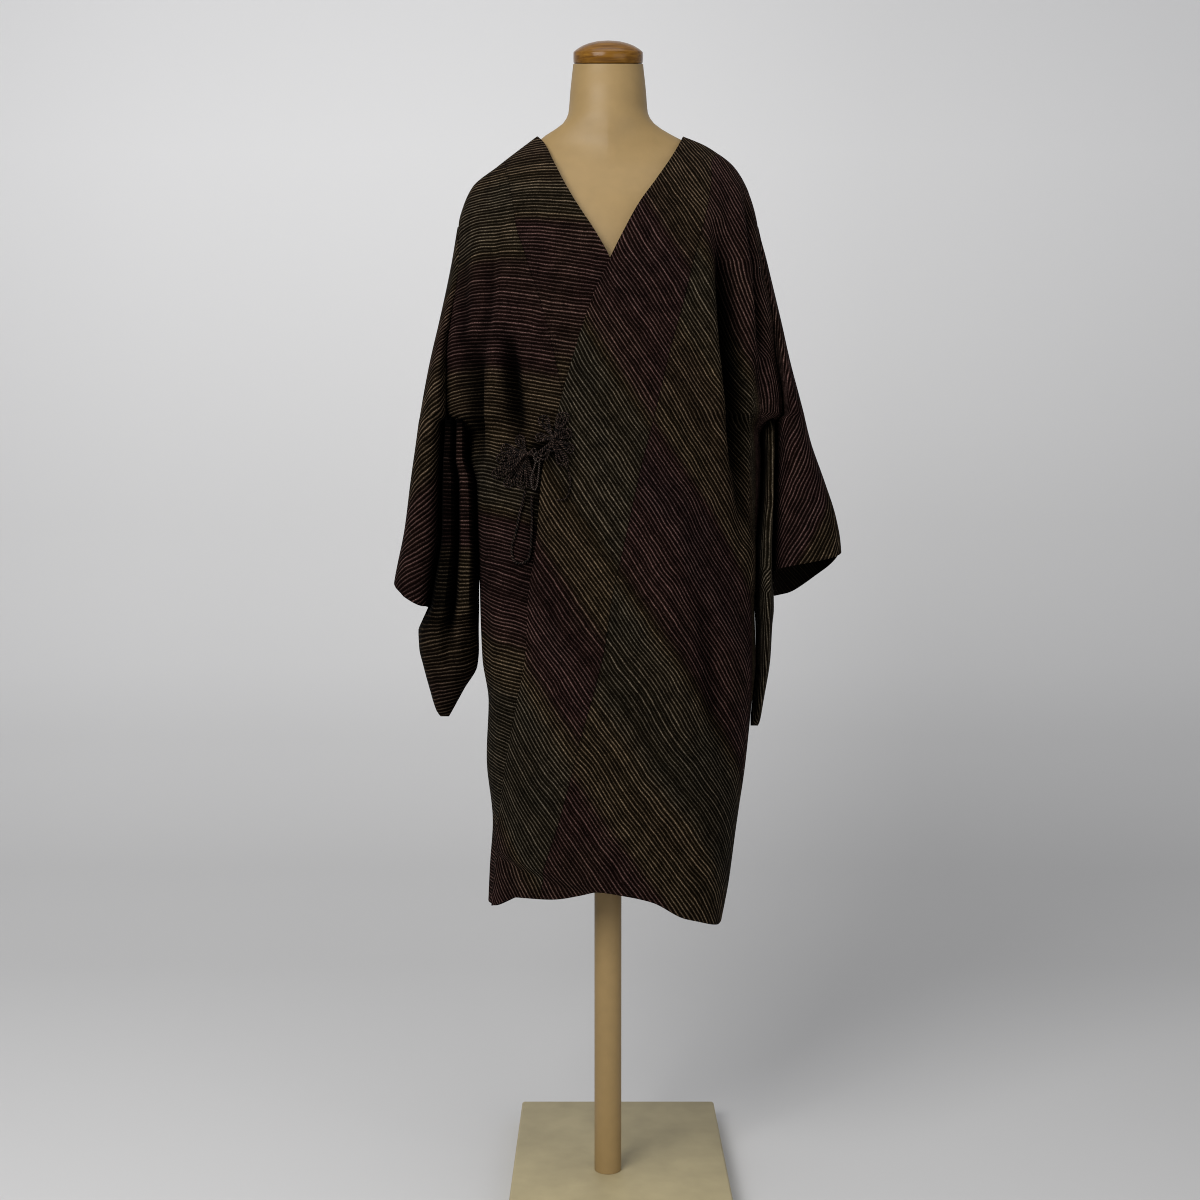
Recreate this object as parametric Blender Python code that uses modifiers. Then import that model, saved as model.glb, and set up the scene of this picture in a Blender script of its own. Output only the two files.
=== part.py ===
"""Kimono coat with a wide collar band, worn on a limbless dress form.

Metres, +Z up. +X is the wearer's left, -Y the front. The origin lies on the floor under the form.
Every cloth piece is a thin wall: its outer face is read from tables of horizontal sections, and its
inner face lies one wall thickness behind it.
"""
import math

import bmesh
import bpy
import numpy as np

# Cloth
WALL = 0.0018
BAND_WALL = 0.0026
SEAM_GAP = 0.0003
SEAM_PULL = 0.0005
SQUARENESS = 2.4
MITRE_LIMIT = 0.4
STEP = 0.002
WELD = 5e-5
LAYER_LIFT = 0.004

# Where the two fronts begin and end to lie on each other, and how fast the upper one settles
CROSS_LOW = 1.200
CROSS_HIGH = 1.260
CROSS_REACH = 0.040

# Edge of the over-front stands off the under-front at the waist
EDGE_STAND = 0.008
STAND_SPREAD = 0.022
STAND_LOW = (0.700, 0.800)
STAND_HIGH = (0.930, 1.000)
FOLD_FADE = 0.7
SIDE_START = 0.90

# Neck of the coat
NECK_SEAM_BACK = 1.290
NECK_EDGE_BACK = 1.348
NECK_EDGE_DEPTH = 0.088
EDGE_TOP = {"left": 1.3625, "right": 1.3625}
SEAM_TOP = {"left": 1.3415, "right": 1.3270}
RISE_START = 1.150

# Sleeves
FURI_TOP = 0.999
SHELF_LOW = 0.985
SHELF_HIGH = 1.008
SHELF_GAP = 0.003
FURI_HALF = 0.030
STRIP_DEPTH = 0.055
STRIP_CLEAR = 0.0012
GROOVE_FLOOR = 0.0024
BACK_SHARE = 0.85
POUCH_DROP = 0.026
POUCH_TIP = 0.007
POUCH_DIP = 0.55
POUCH_SHARE = 0.92
VALLEY_WIDTH = 0.1
VALLEY_RISE = (0.660, 0.750)
SEAM_OPENS = (0.785, 0.820)
CUFF_START = 0.900
LOOSE_LOW = 1.020
LOOSE_HIGH = 1.200

# Cord
CORD_RADIUS = 0.0021
KNOT_RADIUS = 0.0024
KNOT_CLEAR = 0.0004
KNOT_RISE = 0.0052
LOBES = 7
LOBE_TURNS = 3
LOBE_MEAN = 0.66
LOBE_WAVE = 0.34
KNOT_POINTS = 98
LOOP_POINTS = 32

# Form
BASE_SIZE = (0.280, 0.450, 0.030)
BASE_SHIFT = 0.016
POLE_RADIUS = 0.0175
CAP_BOTTOM = 1.4535
CAP_LEAN = 18.0
NECK_BEND = 1.400


def table(names, rows):
    """Columns by name. The first column is the key, and rows are put in its order."""
    data = np.array(sorted(rows), dtype=float)
    columns = {name: data[:, i] for i, name in enumerate(names.split())}
    columns["key"] = data[:, 0]
    return columns


def read(source, name, at):
    """A column at any key, on a smooth curve that never overshoots its rows."""
    keys, values = source["key"], source[name]
    at = np.clip(at, keys[0], keys[-1])
    steps = np.diff(values) / np.diff(keys)
    slopes = np.concatenate([steps[:1], np.zeros(len(keys) - 2), steps[-1:]])
    agree = steps[:-1] * steps[1:] > 0
    total = np.where(agree, steps[:-1] + steps[1:], 1.0)
    slopes[1:-1] = np.where(agree, 2 * steps[:-1] * steps[1:] / total, 0.0)
    i = np.clip(np.searchsorted(keys, at) - 1, 0, len(keys) - 2)
    span = keys[i + 1] - keys[i]
    t = (at - keys[i]) / span
    start = (1 + 2 * t) * (1 - t) ** 2 * values[i] + t * (1 - t) ** 2 * span * slopes[i]
    end = t ** 2 * (3 - 2 * t) * values[i + 1] + t ** 2 * (t - 1) * span * slopes[i + 1]
    return start + end


def ramp(low, high, at):
    """0 before low, 1 after high, smooth between."""
    t = np.clip((at - low) / (high - low), 0.0, 1.0)
    return t * t * (3 - 2 * t)


# Half widths to the wearer's right and left, and half depths, of the coat's tube
RINGS = table("z right left front back", [
    (0.365, 0.156, 0.1425, 0.115, 0.120),
    (0.430, 0.153, 0.1545, 0.117, 0.121),
    (0.490, 0.149, 0.1650, 0.119, 0.122),
    (0.570, 0.156, 0.1770, 0.122, 0.124),
    (0.645, 0.153, 0.1845, 0.124, 0.125),
    (0.700, 0.161, 0.1890, 0.125, 0.126),
    (0.770, 0.1635, 0.1870, 0.125, 0.126),
    (0.825, 0.1645, 0.1860, 0.125, 0.125),
    (0.870, 0.166, 0.1900, 0.125, 0.125),
    (0.925, 0.167, 0.1940, 0.125, 0.125),
    (0.955, 0.176, 0.1945, 0.125, 0.125),
    (0.985, 0.176, 0.1930, 0.125, 0.125),
    (0.997, 0.185, 0.2030, 0.125, 0.125),
    (1.008, 0.205, 0.2225, 0.125, 0.125),
    (1.020, 0.207, 0.2235, 0.125, 0.125),
    (1.088, 0.206, 0.2130, 0.125, 0.126),
    (1.130, 0.2005, 0.2095, 0.122, 0.126),
    (1.200, 0.192, 0.1965, 0.113, 0.119),
    (1.250, 0.189, 0.1885, 0.100, 0.108),
    (1.270, 0.1840, 0.1840, 0.092, 0.100),
    (1.295, 0.1725, 0.1755, 0.079, 0.086),
    (1.3205, 0.142, 0.1610, 0.060, 0.066),
    (1.3455, 0.1117, 0.1292, 0.038, 0.042),
    (1.3625, 0.0905, 0.0955, 0.020, 0.024),
])

# Where the collar band's free edge and its seam lie across the front, over and under
EDGES = table("z over_edge over_seam under_edge under_seam", [
    (1.3625, 0.0955, 0.1400, -0.0905, -0.1400),
    (1.3450, 0.0885, 0.1400, -0.0790, -0.1400),
    (1.3190, 0.0755, 0.1275, -0.0685, -0.1285),
    (1.2870, 0.0563, 0.1245, -0.0545, -0.1215),
    (1.2570, 0.0366, 0.1185, -0.0385, -0.1155),
    (1.2200, 0.0172, 0.1095, -0.0155, -0.1080),
    (1.1900, 0.0030, 0.1025, 0.0010, -0.0985),
    (1.1390, -0.0195, 0.0905, 0.0185, -0.0825),
    (1.0780, -0.0396, 0.0735, 0.0396, -0.0665),
    (1.0130, -0.0580, 0.0576, 0.0580, -0.0525),
    (0.9330, -0.0759, 0.0372, 0.0759, -0.0372),
    (0.8430, -0.0836, 0.0177, 0.0836, -0.0177),
    (0.7880, -0.0917, 0.0053, 0.0917, -0.0053),
    (0.7170, -0.0982, -0.0055, 0.0982, 0.0055),
    (0.6110, -0.1180, -0.0332, 0.1180, 0.0332),
    (0.5230, -0.1320, -0.0553, 0.1320, 0.0553),
    (0.4640, -0.1395, -0.0725, 0.1395, 0.0725),
    (0.4110, -0.1460, -0.0870, 0.1460, 0.0870),
])

# Hem height across the front
HEM = table("x z", [
    (-0.153, 0.385), (-0.117, 0.4085), (-0.070, 0.4110), (-0.033, 0.4184), (-0.014, 0.4246),
    (0.019, 0.4196), (0.051, 0.4113), (0.090, 0.3887), (0.1125, 0.3800), (0.142, 0.3660),
])
HEM_BACK = 0.370
HEM_TURN_BACK = 0.3
HEM_TURN_FRONT = 0.1
HEM_ROW = 0.400
HEM_TOP = 0.500

# Armhole edge: how far round the side the cloth reaches, 1 is the side itself
ARMHOLE = table("z turn", [
    (0.985, 1.00), (0.997, 1.00), (1.008, 0.90), (1.030, 0.87), (1.170, 0.87), (1.210, 0.885),
    (1.235, 0.91), (1.246, 0.94), (1.248, 1.00), (1.270, 1.00),
])

# Large folds: layer, line from its top to its bottom, half width and height (below 0 is a valley)
FOLDS = [
    ("over", 0.1080, 1.330, 0.1520, 0.880, 0.014, 0.009),
    ("over", 0.1380, 1.080, 0.1800, 0.780, 0.014, 0.006),
    ("over", 0.1330, 1.240, 0.1700, 0.840, 0.013, -0.024),
    ("over", 0.1600, 1.300, 0.1840, 1.060, 0.009, 0.005),
    ("over", 0.1850, 1.200, 0.1900, 1.010, 0.009, -0.006),
    ("over", 0.0520, 0.880, 0.1230, 0.400, 0.016, 0.007),
    ("over", 0.1050, 0.820, 0.1450, 0.520, 0.014, -0.007),
    ("under", -0.1120, 1.270, -0.1480, 0.960, 0.014, 0.008),
    ("under", -0.1380, 1.220, -0.1640, 0.980, 0.010, -0.008),
    ("under", -0.1280, 1.110, -0.1100, 0.968, 0.013, -0.017),
    ("under", -0.1700, 1.100, -0.1620, 0.940, 0.011, -0.014),
    ("under", -0.1800, 1.240, -0.1830, 1.010, 0.010, -0.006),
    ("under", -0.1500, 0.900, -0.1180, 0.560, 0.010, 0.005),
    ("back", 0.1250, 1.220, 0.1300, 0.420, 0.020, 0.007),
    ("back", 0.0700, 1.120, 0.0800, 0.450, 0.022, -0.006),
    ("back", -0.1200, 1.220, -0.1250, 0.420, 0.020, 0.007),
    ("back", -0.0600, 1.120, -0.0750, 0.450, 0.022, -0.006),
]

# Lower left corner of the over-front, creased and set back towards the legs
DENT = table("x z depth", [
    (-0.148, 0.470, 0.002), (-0.125, 0.463, 0.010), (-0.090, 0.452, 0.012), (-0.045, 0.438, 0.011),
    (-0.010, 0.427, 0.004), (0.015, 0.420, 0.000),
])
DENT_WIDTH = 0.016

# Sleeve sections: outline, deep groove beside the body's strips, and depths of crest and groove
SLEEVES = {
    "left": table("z outer groove crest pit", [
        (0.811, 0.3000, 0.2110, 0.052, 0.016),
        (0.850, 0.2970, 0.2110, 0.052, 0.014),
        (0.882, 0.2905, 0.2115, 0.053, 0.012),
        (0.925, 0.2760, 0.2120, 0.055, 0.012),
        (0.975, 0.2575, 0.2125, 0.058, 0.014),
        (1.008, 0.2485, 0.2125, 0.060, 0.016),
        (1.068, 0.2325, 0.2100, 0.058, 0.050),
        (1.130, 0.2195, 0.2060, 0.052, 0.048),
        (1.207, 0.2015, 0.1940, 0.040, 0.044),
        (1.235, 0.1930, 0.1890, 0.020, 0.030),
        (1.250, 0.1895, 0.1885, 0.004, 0.010),
    ]),
    "right": table("z outer groove crest pit", [
        (0.766, 0.2780, 0.2290, 0.045, 0.018),
        (0.801, 0.2730, 0.2230, 0.048, 0.014),
        (0.864, 0.2600, 0.2140, 0.050, 0.012),
        (0.925, 0.2515, 0.2130, 0.054, 0.012),
        (0.975, 0.2440, 0.2095, 0.056, 0.014),
        (1.008, 0.2390, 0.2080, 0.058, 0.016),
        (1.068, 0.2280, 0.2030, 0.056, 0.050),
        (1.130, 0.2145, 0.1980, 0.050, 0.048),
        (1.207, 0.1985, 0.1870, 0.040, 0.044),
        (1.235, 0.1935, 0.1885, 0.020, 0.030),
        (1.250, 0.1905, 0.1890, 0.004, 0.010),
    ]),
}

# Lower edge of the cuff mouth in front and behind, from the groove (0) to the outer fold (1)
MOUTHS = {
    "left": table("across front back", [
        (0.0, 0.811, 0.811), (0.13, 0.815, 0.778), (0.35, 0.820, 0.781), (0.7, 0.829, 0.811),
        (1.0, 0.838, 0.838),
    ]),
    "right": table("across front back", [
        (0.0, 0.766, 0.764), (0.35, 0.772, 0.764), (0.7, 0.788, 0.776), (1.0, 0.801, 0.801),
    ]),
}

# Sewn pouch under the mouth: inner and outer limit and half depth
POUCHES = {
    "left": table("z inner outer depth", [
        (0.612, 0.1840, 0.1935, 0.000), (0.618, 0.1838, 0.1960, 0.012), (0.648, 0.1862, 0.2010, 0.028),
        (0.702, 0.1903, 0.2090, 0.040), (0.742, 0.1896, 0.2110, 0.046), (0.764, 0.1885, 0.2130, 0.050),
        (0.811, 0.1876, 0.2110, 0.055),
    ]),
    "right": table("z inner outer depth", [
        (0.624, 0.2050, 0.2160, 0.000), (0.631, 0.2010, 0.2210, 0.010), (0.660, 0.1850, 0.2300, 0.024),
        (0.690, 0.1680, 0.2380, 0.034), (0.712, 0.1660, 0.2430, 0.040), (0.735, 0.1662, 0.2440, 0.044),
        (0.755, 0.1662, 0.2330, 0.048), (0.766, 0.1656, 0.2290, 0.050),
    ]),
}
STRIPS = {"left": 1, "right": 2}

# Section of one strip, from its inner to its outer valley
STRIP_SHAPE = table("across rise", [
    (0.00, 0.00), (0.16, 0.69), (0.30, 0.965), (0.70, 0.965), (0.84, 0.69), (1.00, 0.00),
])
SIGN = {"left": 1.0, "right": -1.0}

# Torso and neck of the form
FORM = table("z right left depth squareness", [
    (0.655, 0.1440, 0.1440, 0.092, 2.2),
    (0.665, 0.1500, 0.1500, 0.098, 2.2),
    (0.720, 0.1550, 0.1550, 0.102, 2.2),
    (0.800, 0.1540, 0.1540, 0.103, 2.2),
    (0.900, 0.1440, 0.1440, 0.098, 2.2),
    (0.970, 0.1380, 0.1380, 0.096, 2.2),
    (1.050, 0.1410, 0.1410, 0.099, 2.2),
    (1.120, 0.1500, 0.1500, 0.102, 2.2),
    (1.180, 0.1590, 0.1590, 0.098, 2.2),
    (1.220, 0.1660, 0.1670, 0.093, 2.1),
    (1.250, 0.1720, 0.1730, 0.085, 2.0),
    (1.270, 0.1690, 0.1710, 0.078, 2.0),
    (1.295, 0.1580, 0.1620, 0.066, 1.9),
    (1.3205, 0.1318, 0.1500, 0.055, 1.6),
    (1.3455, 0.1010, 0.1170, 0.051, 1.4),
    (1.3625, 0.0806, 0.0829, 0.053, 1.5),
    (1.3750, 0.0590, 0.0600, 0.0530, 1.9),
    (1.3900, 0.0505, 0.0505, 0.0505, 2.0),
    (1.4200, 0.0478, 0.0478, 0.0478, 2.0),
    (1.4532, 0.0442, 0.0442, 0.0442, 2.0),
])

FORM_ROWS = [0.655, 0.665, 0.720, 0.800, 0.870, 0.930, 0.970, 1.040, 1.120, 1.180, 1.220, 1.250, 1.270,
             1.285, 1.295, 1.308, 1.3205, 1.333, 1.3455, 1.354, 1.3625, 1.3750, 1.390, 1.405, 1.420, 1.437, 1.4532]
FORM_SIDES = 24

# Turned cap: radius and height above its underside
CAP_PROFILE = [(0.0, 0.0), (0.0425, 0.0), (0.0438, 0.0015), (0.0440, 0.0070), (0.0438, 0.0135),
               (0.0425, 0.0148), (0.0390, 0.0175), (0.0325, 0.0212), (0.0240, 0.0243), (0.0140, 0.0265),
               (0.0, 0.0274)]


def ring(turn, z, back):
    """Plain tube of the coat: turn is -1 at the right side, 0 at the centre, 1 at the left side."""
    width = np.where(turn < 0, read(RINGS, "right", z), read(RINGS, "left", z))
    depth = read(RINGS, "back", z) if back else -read(RINGS, "front", z)
    across, along = np.sin(turn * math.pi / 2), np.cos(turn * math.pi / 2)
    x = width * np.sign(across) * np.abs(across) ** (2 / SQUARENESS)
    y = depth * np.abs(along) ** (2 / SQUARENESS)
    nx = np.sign(x) * np.abs(x / width) ** (SQUARENESS - 1) / width
    ny = np.sign(depth) * np.abs(y / depth) ** (SQUARENESS - 1) / np.abs(depth)
    length = np.hypot(nx, ny)
    return x, y, nx / length, ny / length


def turn_at(x, z):
    """The turn at which the tube has a given x."""
    width = np.where(x < 0, read(RINGS, "right", z), read(RINGS, "left", z))
    share = np.clip(np.abs(x) / width, 0.0, 1.0) ** (SQUARENESS / 2)
    return np.sign(x) * np.arcsin(share) / (math.pi / 2)


def fold_height(layer, x, z):
    """Ridges and valleys of one layer."""
    height = np.zeros_like(x)
    for where, top_x, top_z, low_x, low_z, spread, rise in FOLDS:
        if where != layer:
            continue
        share = np.clip((top_z - z) / (top_z - low_z), 0.0, 1.0)
        line = top_x + (low_x - top_x) * share
        fade = np.clip(4 * share * (1 - share), 0.0, 1.0) ** FOLD_FADE
        height += rise * fade * np.exp(-((x - line) / spread) ** 2)
    return height


def layer_height(layer, turn, x, z):
    """How far a layer stands off the plain tube."""
    crossed = ramp(CROSS_HIGH, CROSS_LOW, z)
    if layer == "over":
        under_edge = read(EDGES, "under_edge", z)
        height = LAYER_LIFT * crossed * (1 - ramp(under_edge, under_edge + CROSS_REACH, x))
        stand = ramp(*STAND_LOW, z) * (1 - ramp(*STAND_HIGH, z))
        height += EDGE_STAND * stand * np.exp(-((x - read(EDGES, "over_edge", z)) / STAND_SPREAD) ** 2)
    elif layer == "under":
        over_edge = read(EDGES, "over_edge", z)
        height = -LAYER_LIFT * crossed * ramp(over_edge - CROSS_REACH, over_edge, x)
    else:
        height = np.zeros_like(x)
    if layer != "back":
        crease = read(DENT, "z", x)
        height -= read(DENT, "depth", x) * ramp(crease, crease - DENT_WIDTH, z)
    height += fold_height(layer, x, z)
    return height * (1 - ramp(SIDE_START, 1.0, np.abs(turn)))


def skin(turn, z, layer):
    """Point of the coat's outer face."""
    x, y, nx, ny = ring(turn, z, layer == "back")
    height = layer_height(layer, turn, x, z)
    return np.stack([x + nx * height, y + ny * height, z], axis=-1)


def skin_normal(turn, z, layer):
    """Outward normal, from points just beside."""
    low, high = np.clip(turn - STEP, -1, 1), np.clip(turn + STEP, -1, 1)
    across = skin(high, z, layer) - skin(low, z, layer)
    along = skin(turn, z + STEP, layer) - skin(turn, z - STEP, layer)
    normal = np.cross(across, along)
    normal /= np.linalg.norm(normal, axis=-1, keepdims=True)
    facing = np.sum(normal * skin(turn, z, layer) * np.array([1, 1, 0]), axis=-1, keepdims=True)
    return normal * np.where(facing < 0, -1.0, 1.0)


def on_front(x, z, layer, height):
    """Point at a given height over the front, placed by x."""
    x, z = np.asarray(x, dtype=float), np.asarray(z, dtype=float)
    turn = turn_at(x, z)
    return skin(turn, z, layer) + skin_normal(turn, z, layer) * np.asarray(height)[..., None]


def hem_height(x, turn, back):
    """Height of the lower edge; front and back meet at the side seams."""
    side = np.where(turn < 0, HEM["z"][0], HEM["z"][-1])
    level, reach = (HEM_BACK, HEM_TURN_BACK) if back else (read(HEM, "z", x), HEM_TURN_FRONT)
    return side + (level - side) * ramp(0.0, reach, 1 - np.abs(turn))


def row_height(row, x, turn, back):
    """Rows are level above HEM_TOP and follow the hem below it."""
    hem = hem_height(x, turn, back)
    share = (HEM_TOP - row) / (HEM_TOP - HEM_ROW)
    return np.where(row < HEM_TOP, HEM_TOP + (hem - HEM_TOP) * share, row)


SKIRT_ROWS = [0.400, 0.418, 0.438, 0.462, 0.500, 0.550, 0.600, 0.650, 0.700, 0.750, 0.800, 0.850,
              0.895, 0.930, 0.960, 0.985, 0.997]
ARM_ROWS = [1.008, 1.030, 1.060, 1.095, 1.130, 1.170, 1.210, 1.235, 1.246, 1.248]
NECK_TURNS = [90, 60, 40, 25, 12, 0]
SLEEVE_ROWS = [1.246, 1.235, 1.210, 1.170, 1.130, 1.095, 1.060, 1.030, 1.008, FURI_TOP, 0.985, 0.965,
               0.935, 0.900, 0.870, 0.840, 0.815, 0.790]


def neck_rows(side):
    """Rows from the back neck seam's centre up to the shoulder."""
    top = SEAM_TOP[side]
    return [top - (top - NECK_SEAM_BACK) * math.sin(math.radians(a)) for a in NECK_TURNS]


def body_rows(side):
    return np.array(SKIRT_ROWS + ARM_ROWS + [1.270] + neck_rows(side))


def neck_seam_x(side, z):
    """Half width of the back neck seam at a height, 0 below its centre."""
    top = SEAM_TOP[side]
    share = np.clip((top - z) / (top - NECK_SEAM_BACK), 0.0, 1.0)
    across = abs(float(np.max(read(RINGS, side, top))))
    return across * np.sqrt(1 - share ** 2)


def turn_gap(turn, z, layer, gap):
    """A gap along the section, as a change of turn."""
    near = skin(np.clip(turn - STEP, -1, 1), z, layer)
    far = skin(np.clip(turn + STEP, -1, 1), z, layer)
    return gap * 2 * STEP / np.linalg.norm(far - near, axis=-1)


def panel(side, layer, columns):
    """Grid of one half panel, from its side edge to its seam."""
    sign = SIGN[side]
    rows = body_rows(side)[:, None]
    end = sign * read(ARMHOLE, "turn", rows)
    if layer == "back":
        inner = turn_at(sign * neck_seam_x(side, rows), rows)
    else:
        inner = turn_at(read(EDGES, layer + "_seam", rows), rows)
    if layer == "back":
        inner = inner + sign * turn_gap(inner, rows, layer, SEAM_GAP / 2) * (inner == 0)
    inner = np.where(sign * (end - inner) < 0, end, inner)
    share = np.linspace(0, 1, columns + 1)[None, :]
    turn = end + (inner - end) * share
    x = ring(turn, rows + 0 * turn, layer == "back")[0]
    z = row_height(rows + 0 * turn, x, turn, layer == "back")
    return skin(turn, z, layer), skin_normal(turn, z, layer)


def band_front(side, layer, columns):
    """Collar band over one front, from the hem to the shoulder; columns run from edge to seam."""
    sign = SIGN[side]
    rows = body_rows(side)[:, None]
    rise = (EDGE_TOP[side] - SEAM_TOP[side]) * np.clip(
        (rows - RISE_START) / (SEAM_TOP[side] - RISE_START), 0, 1)
    edge_turn = turn_at(read(EDGES, layer + "_edge", rows + rise), rows + rise)
    seam_turn = turn_at(read(EDGES, layer + "_seam", rows), rows)
    share = np.linspace(0, 1, columns + 1)[None, :]
    turn = edge_turn + (seam_turn - edge_turn) * share
    level = rows + rise * (1 - share)
    x = ring(turn, level, False)[0]
    z = row_height(level, x, turn, False)
    return skin(turn, z, layer), skin_normal(turn, z, layer)


def band_back(columns):
    """Collar band round the back of the neck, from the left shoulder to the right one."""
    share = np.linspace(0, 1, columns + 1)[None, :, None]
    edge, seam = [], []
    for angle in np.radians(NECK_TURNS[-2::-1] + [180 - a for a in NECK_TURNS[1:-1]]):
        side = "left" if math.cos(angle) >= 0 else "right"
        sweep = math.sin(angle)
        seam_z = SEAM_TOP[side] - (SEAM_TOP[side] - NECK_SEAM_BACK) * sweep
        seam_x = SIGN[side] * float(neck_seam_x(side, np.array(seam_z)))
        turn = turn_at(np.array(seam_x), np.array(seam_z))
        seam.append(skin(turn, np.array(seam_z), "back"))
        edge_x = float(read(RINGS, side, np.array(EDGE_TOP[side]))) * math.cos(angle)
        edge_z = EDGE_TOP[side] - (EDGE_TOP[side] - NECK_EDGE_BACK) * sweep
        edge.append(np.array([edge_x, NECK_EDGE_DEPTH * sweep, edge_z]))
    edge, seam = np.array(edge)[:, None, :], np.array(seam)[:, None, :]
    return edge + (seam - edge) * share


def grid_normals(points):
    """Normals of a grid from its own neighbours, facing away from the vertical axis."""
    along, across = np.gradient(points, axis=0), np.gradient(points, axis=1)
    normal = np.cross(along, across)
    normal /= np.linalg.norm(normal, axis=-1, keepdims=True)
    outward = np.sum((normal * points)[..., :2])
    return normal if outward > 0 else -normal


def collar_grid(columns):
    """The whole band, hem to hem, its last column drawn back from the seam by the gap."""
    left, left_normal = band_front("left", "over", columns)
    right, right_normal = band_front("right", "under", columns)
    back = band_back(columns)
    points = np.concatenate([left, back, right[::-1]])
    inward = points[:, -2] - points[:, -1]
    points[:, -1] += inward / np.linalg.norm(inward, axis=-1, keepdims=True) * SEAM_PULL
    normals = grid_normals(points)
    normals[:len(left) - 2] = left_normal[:-2]
    normals[len(left) + len(back) + 2:] = right_normal[::-1][2:]
    return points, normals


def shelf_height(side, x, y):
    """Height of the body's underside where it steps out to the armhole."""
    across = 1 - (np.abs(y) / float(read(RINGS, "front", np.array(SHELF_HIGH)))) ** SQUARENESS
    step = (RINGS["z"] >= SHELF_LOW) & (RINGS["z"] <= SHELF_HIGH)
    return np.interp(x / across ** (1 / SQUARENESS), RINGS[side][step], RINGS["z"][step])


def strip_columns(side):
    """Place and rise of each column across a sleeve's strips. The last two bound the groove's floor."""
    strips = STRIPS[side]
    across = np.concatenate([k + STRIP_SHAPE["across"][:-1] for k in range(strips)] + [[strips, strips]])
    rise = np.concatenate([STRIP_SHAPE["rise"][:-1]] * strips + [[0, 0]])
    return across / strips, rise


def sleeve_strips(side, rows, face):
    """Inner part of a sleeve below the armhole, from the free edge to the floor of the groove."""
    across, rise = strip_columns(side)
    z = np.array(rows)[:, None]
    body = read(RINGS, side, np.minimum(z, SHELF_LOW))
    inner = np.maximum(read(POUCHES[side], "inner", z), body + STRIP_CLEAR)
    outer = read(SLEEVES[side], "groove", z)
    x = inner + (outer - GROOVE_FLOOR - inner) * across
    x[:, -1:] = outer
    edge = FURI_HALF * ramp(*SEAM_OPENS, z)
    floor = edge + (read(SLEEVES[side], "pit", z) - edge) * across
    y = (floor + (STRIP_DEPTH - floor) * rise) * (1.0 if face < 0 else BACK_SHARE)
    level = np.minimum(z, shelf_height(side, x, y) - SHELF_GAP)
    level[:, -1:] = z
    return np.stack([SIGN[side] * x, face * y, level], axis=-1)


def sleeve_pouch(side, rows, face):
    """Closed pouch below the mouth, joined to its other face along both limits and at the tip."""
    sign = SIGN[side]
    z = np.array(rows)[:, None]
    share = strip_columns(side)[0] * POUCH_SHARE
    share[-1] = 1.0
    inner, outer = read(POUCHES[side], "inner", z), read(POUCHES[side], "outer", z)
    depth = read(POUCHES[side], "depth", z)
    bulge = np.sin(math.pi * share) ** 0.7
    valley = np.exp(-((share - POUCH_SHARE / 2) / VALLEY_WIDTH) ** 2) * ramp(*VALLEY_RISE, z)
    x = inner + (outer - inner) * share
    y = face * depth * bulge * (1 - POUCH_DIP * valley * (STRIPS[side] - 1))
    return np.stack([sign * x, y, z + 0 * x], axis=-1)


def sleeve_outer(side, rows, columns, face):
    """Outer panel of a sleeve, from the armhole or the groove to the outer fold."""
    sign = SIGN[side]
    layer = "back" if face > 0 else ("over" if side == "left" else "under")
    share = np.linspace(0, 1, columns + 1)[None, :]
    level = np.array(rows)[:, None]
    mouth = read(MOUTHS[side], "back" if face > 0 else "front", share)
    drop = (CUFF_START - level) / (CUFF_START - rows[-1])
    z = np.where(level < CUFF_START, CUFF_START + (mouth - CUFF_START) * drop, level)
    edge = skin(sign * read(ARMHOLE, "turn", z), z, layer)
    attached = ramp(FURI_TOP, SHELF_HIGH, z)
    start_x = read(SLEEVES[side], "groove", z)
    start_x = start_x + (np.abs(edge[..., 0]) + SEAM_GAP - start_x) * attached
    pit = read(SLEEVES[side], "pit", z) * (1.0 if face < 0 else BACK_SHARE)
    start_y = pit + (np.abs(edge[..., 1]) - pit) * attached
    outer, crest = read(SLEEVES[side], "outer", z), read(SLEEVES[side], "crest", z)
    loose = (1 - np.cos(math.pi * share)) / 2
    tight = np.sin(math.pi * share / 2)
    lean = ramp(LOOSE_HIGH, LOOSE_LOW, z)
    x = start_x + (outer - start_x) * (loose * lean + tight * (1 - lean))
    swell = np.maximum(crest - start_y * 0.5, 0) * np.sin(math.pi * share) ** 0.8
    y = start_y * np.cos(math.pi * share / 2) ** 1.5 + swell * lean
    return np.stack([sign * x, face * y, z], axis=-1)


def sleeve_patches(side):
    """All grids of one sleeve. Points that meet are welded."""
    mouth_row = float(MOUTHS[side]["front"][0])
    outer_rows = [row for row in SLEEVE_ROWS if row > mouth_row] + [mouth_row]
    strip_rows = [row for row in outer_rows if row <= FURI_TOP]
    tip = float(POUCHES[side]["z"][0])
    pouch_top = mouth_row - POUCH_DROP
    pouch_rows = list(np.linspace(pouch_top, tip + 3 * POUCH_TIP, 5)) + [tip + POUCH_TIP, tip]
    patches = []
    for face in (-1, 1):
        strips = sleeve_strips(side, strip_rows, face)
        outer = sleeve_outer(side, outer_rows, 8, face)
        start = len(outer_rows) - len(strip_rows)
        strips[:, -1] = outer[start:, 0]
        pouch = sleeve_pouch(side, pouch_rows, face)
        lower = np.concatenate([strips, pouch])
        patches.append(lower)
        patches.append(outer)
    return patches


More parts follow.
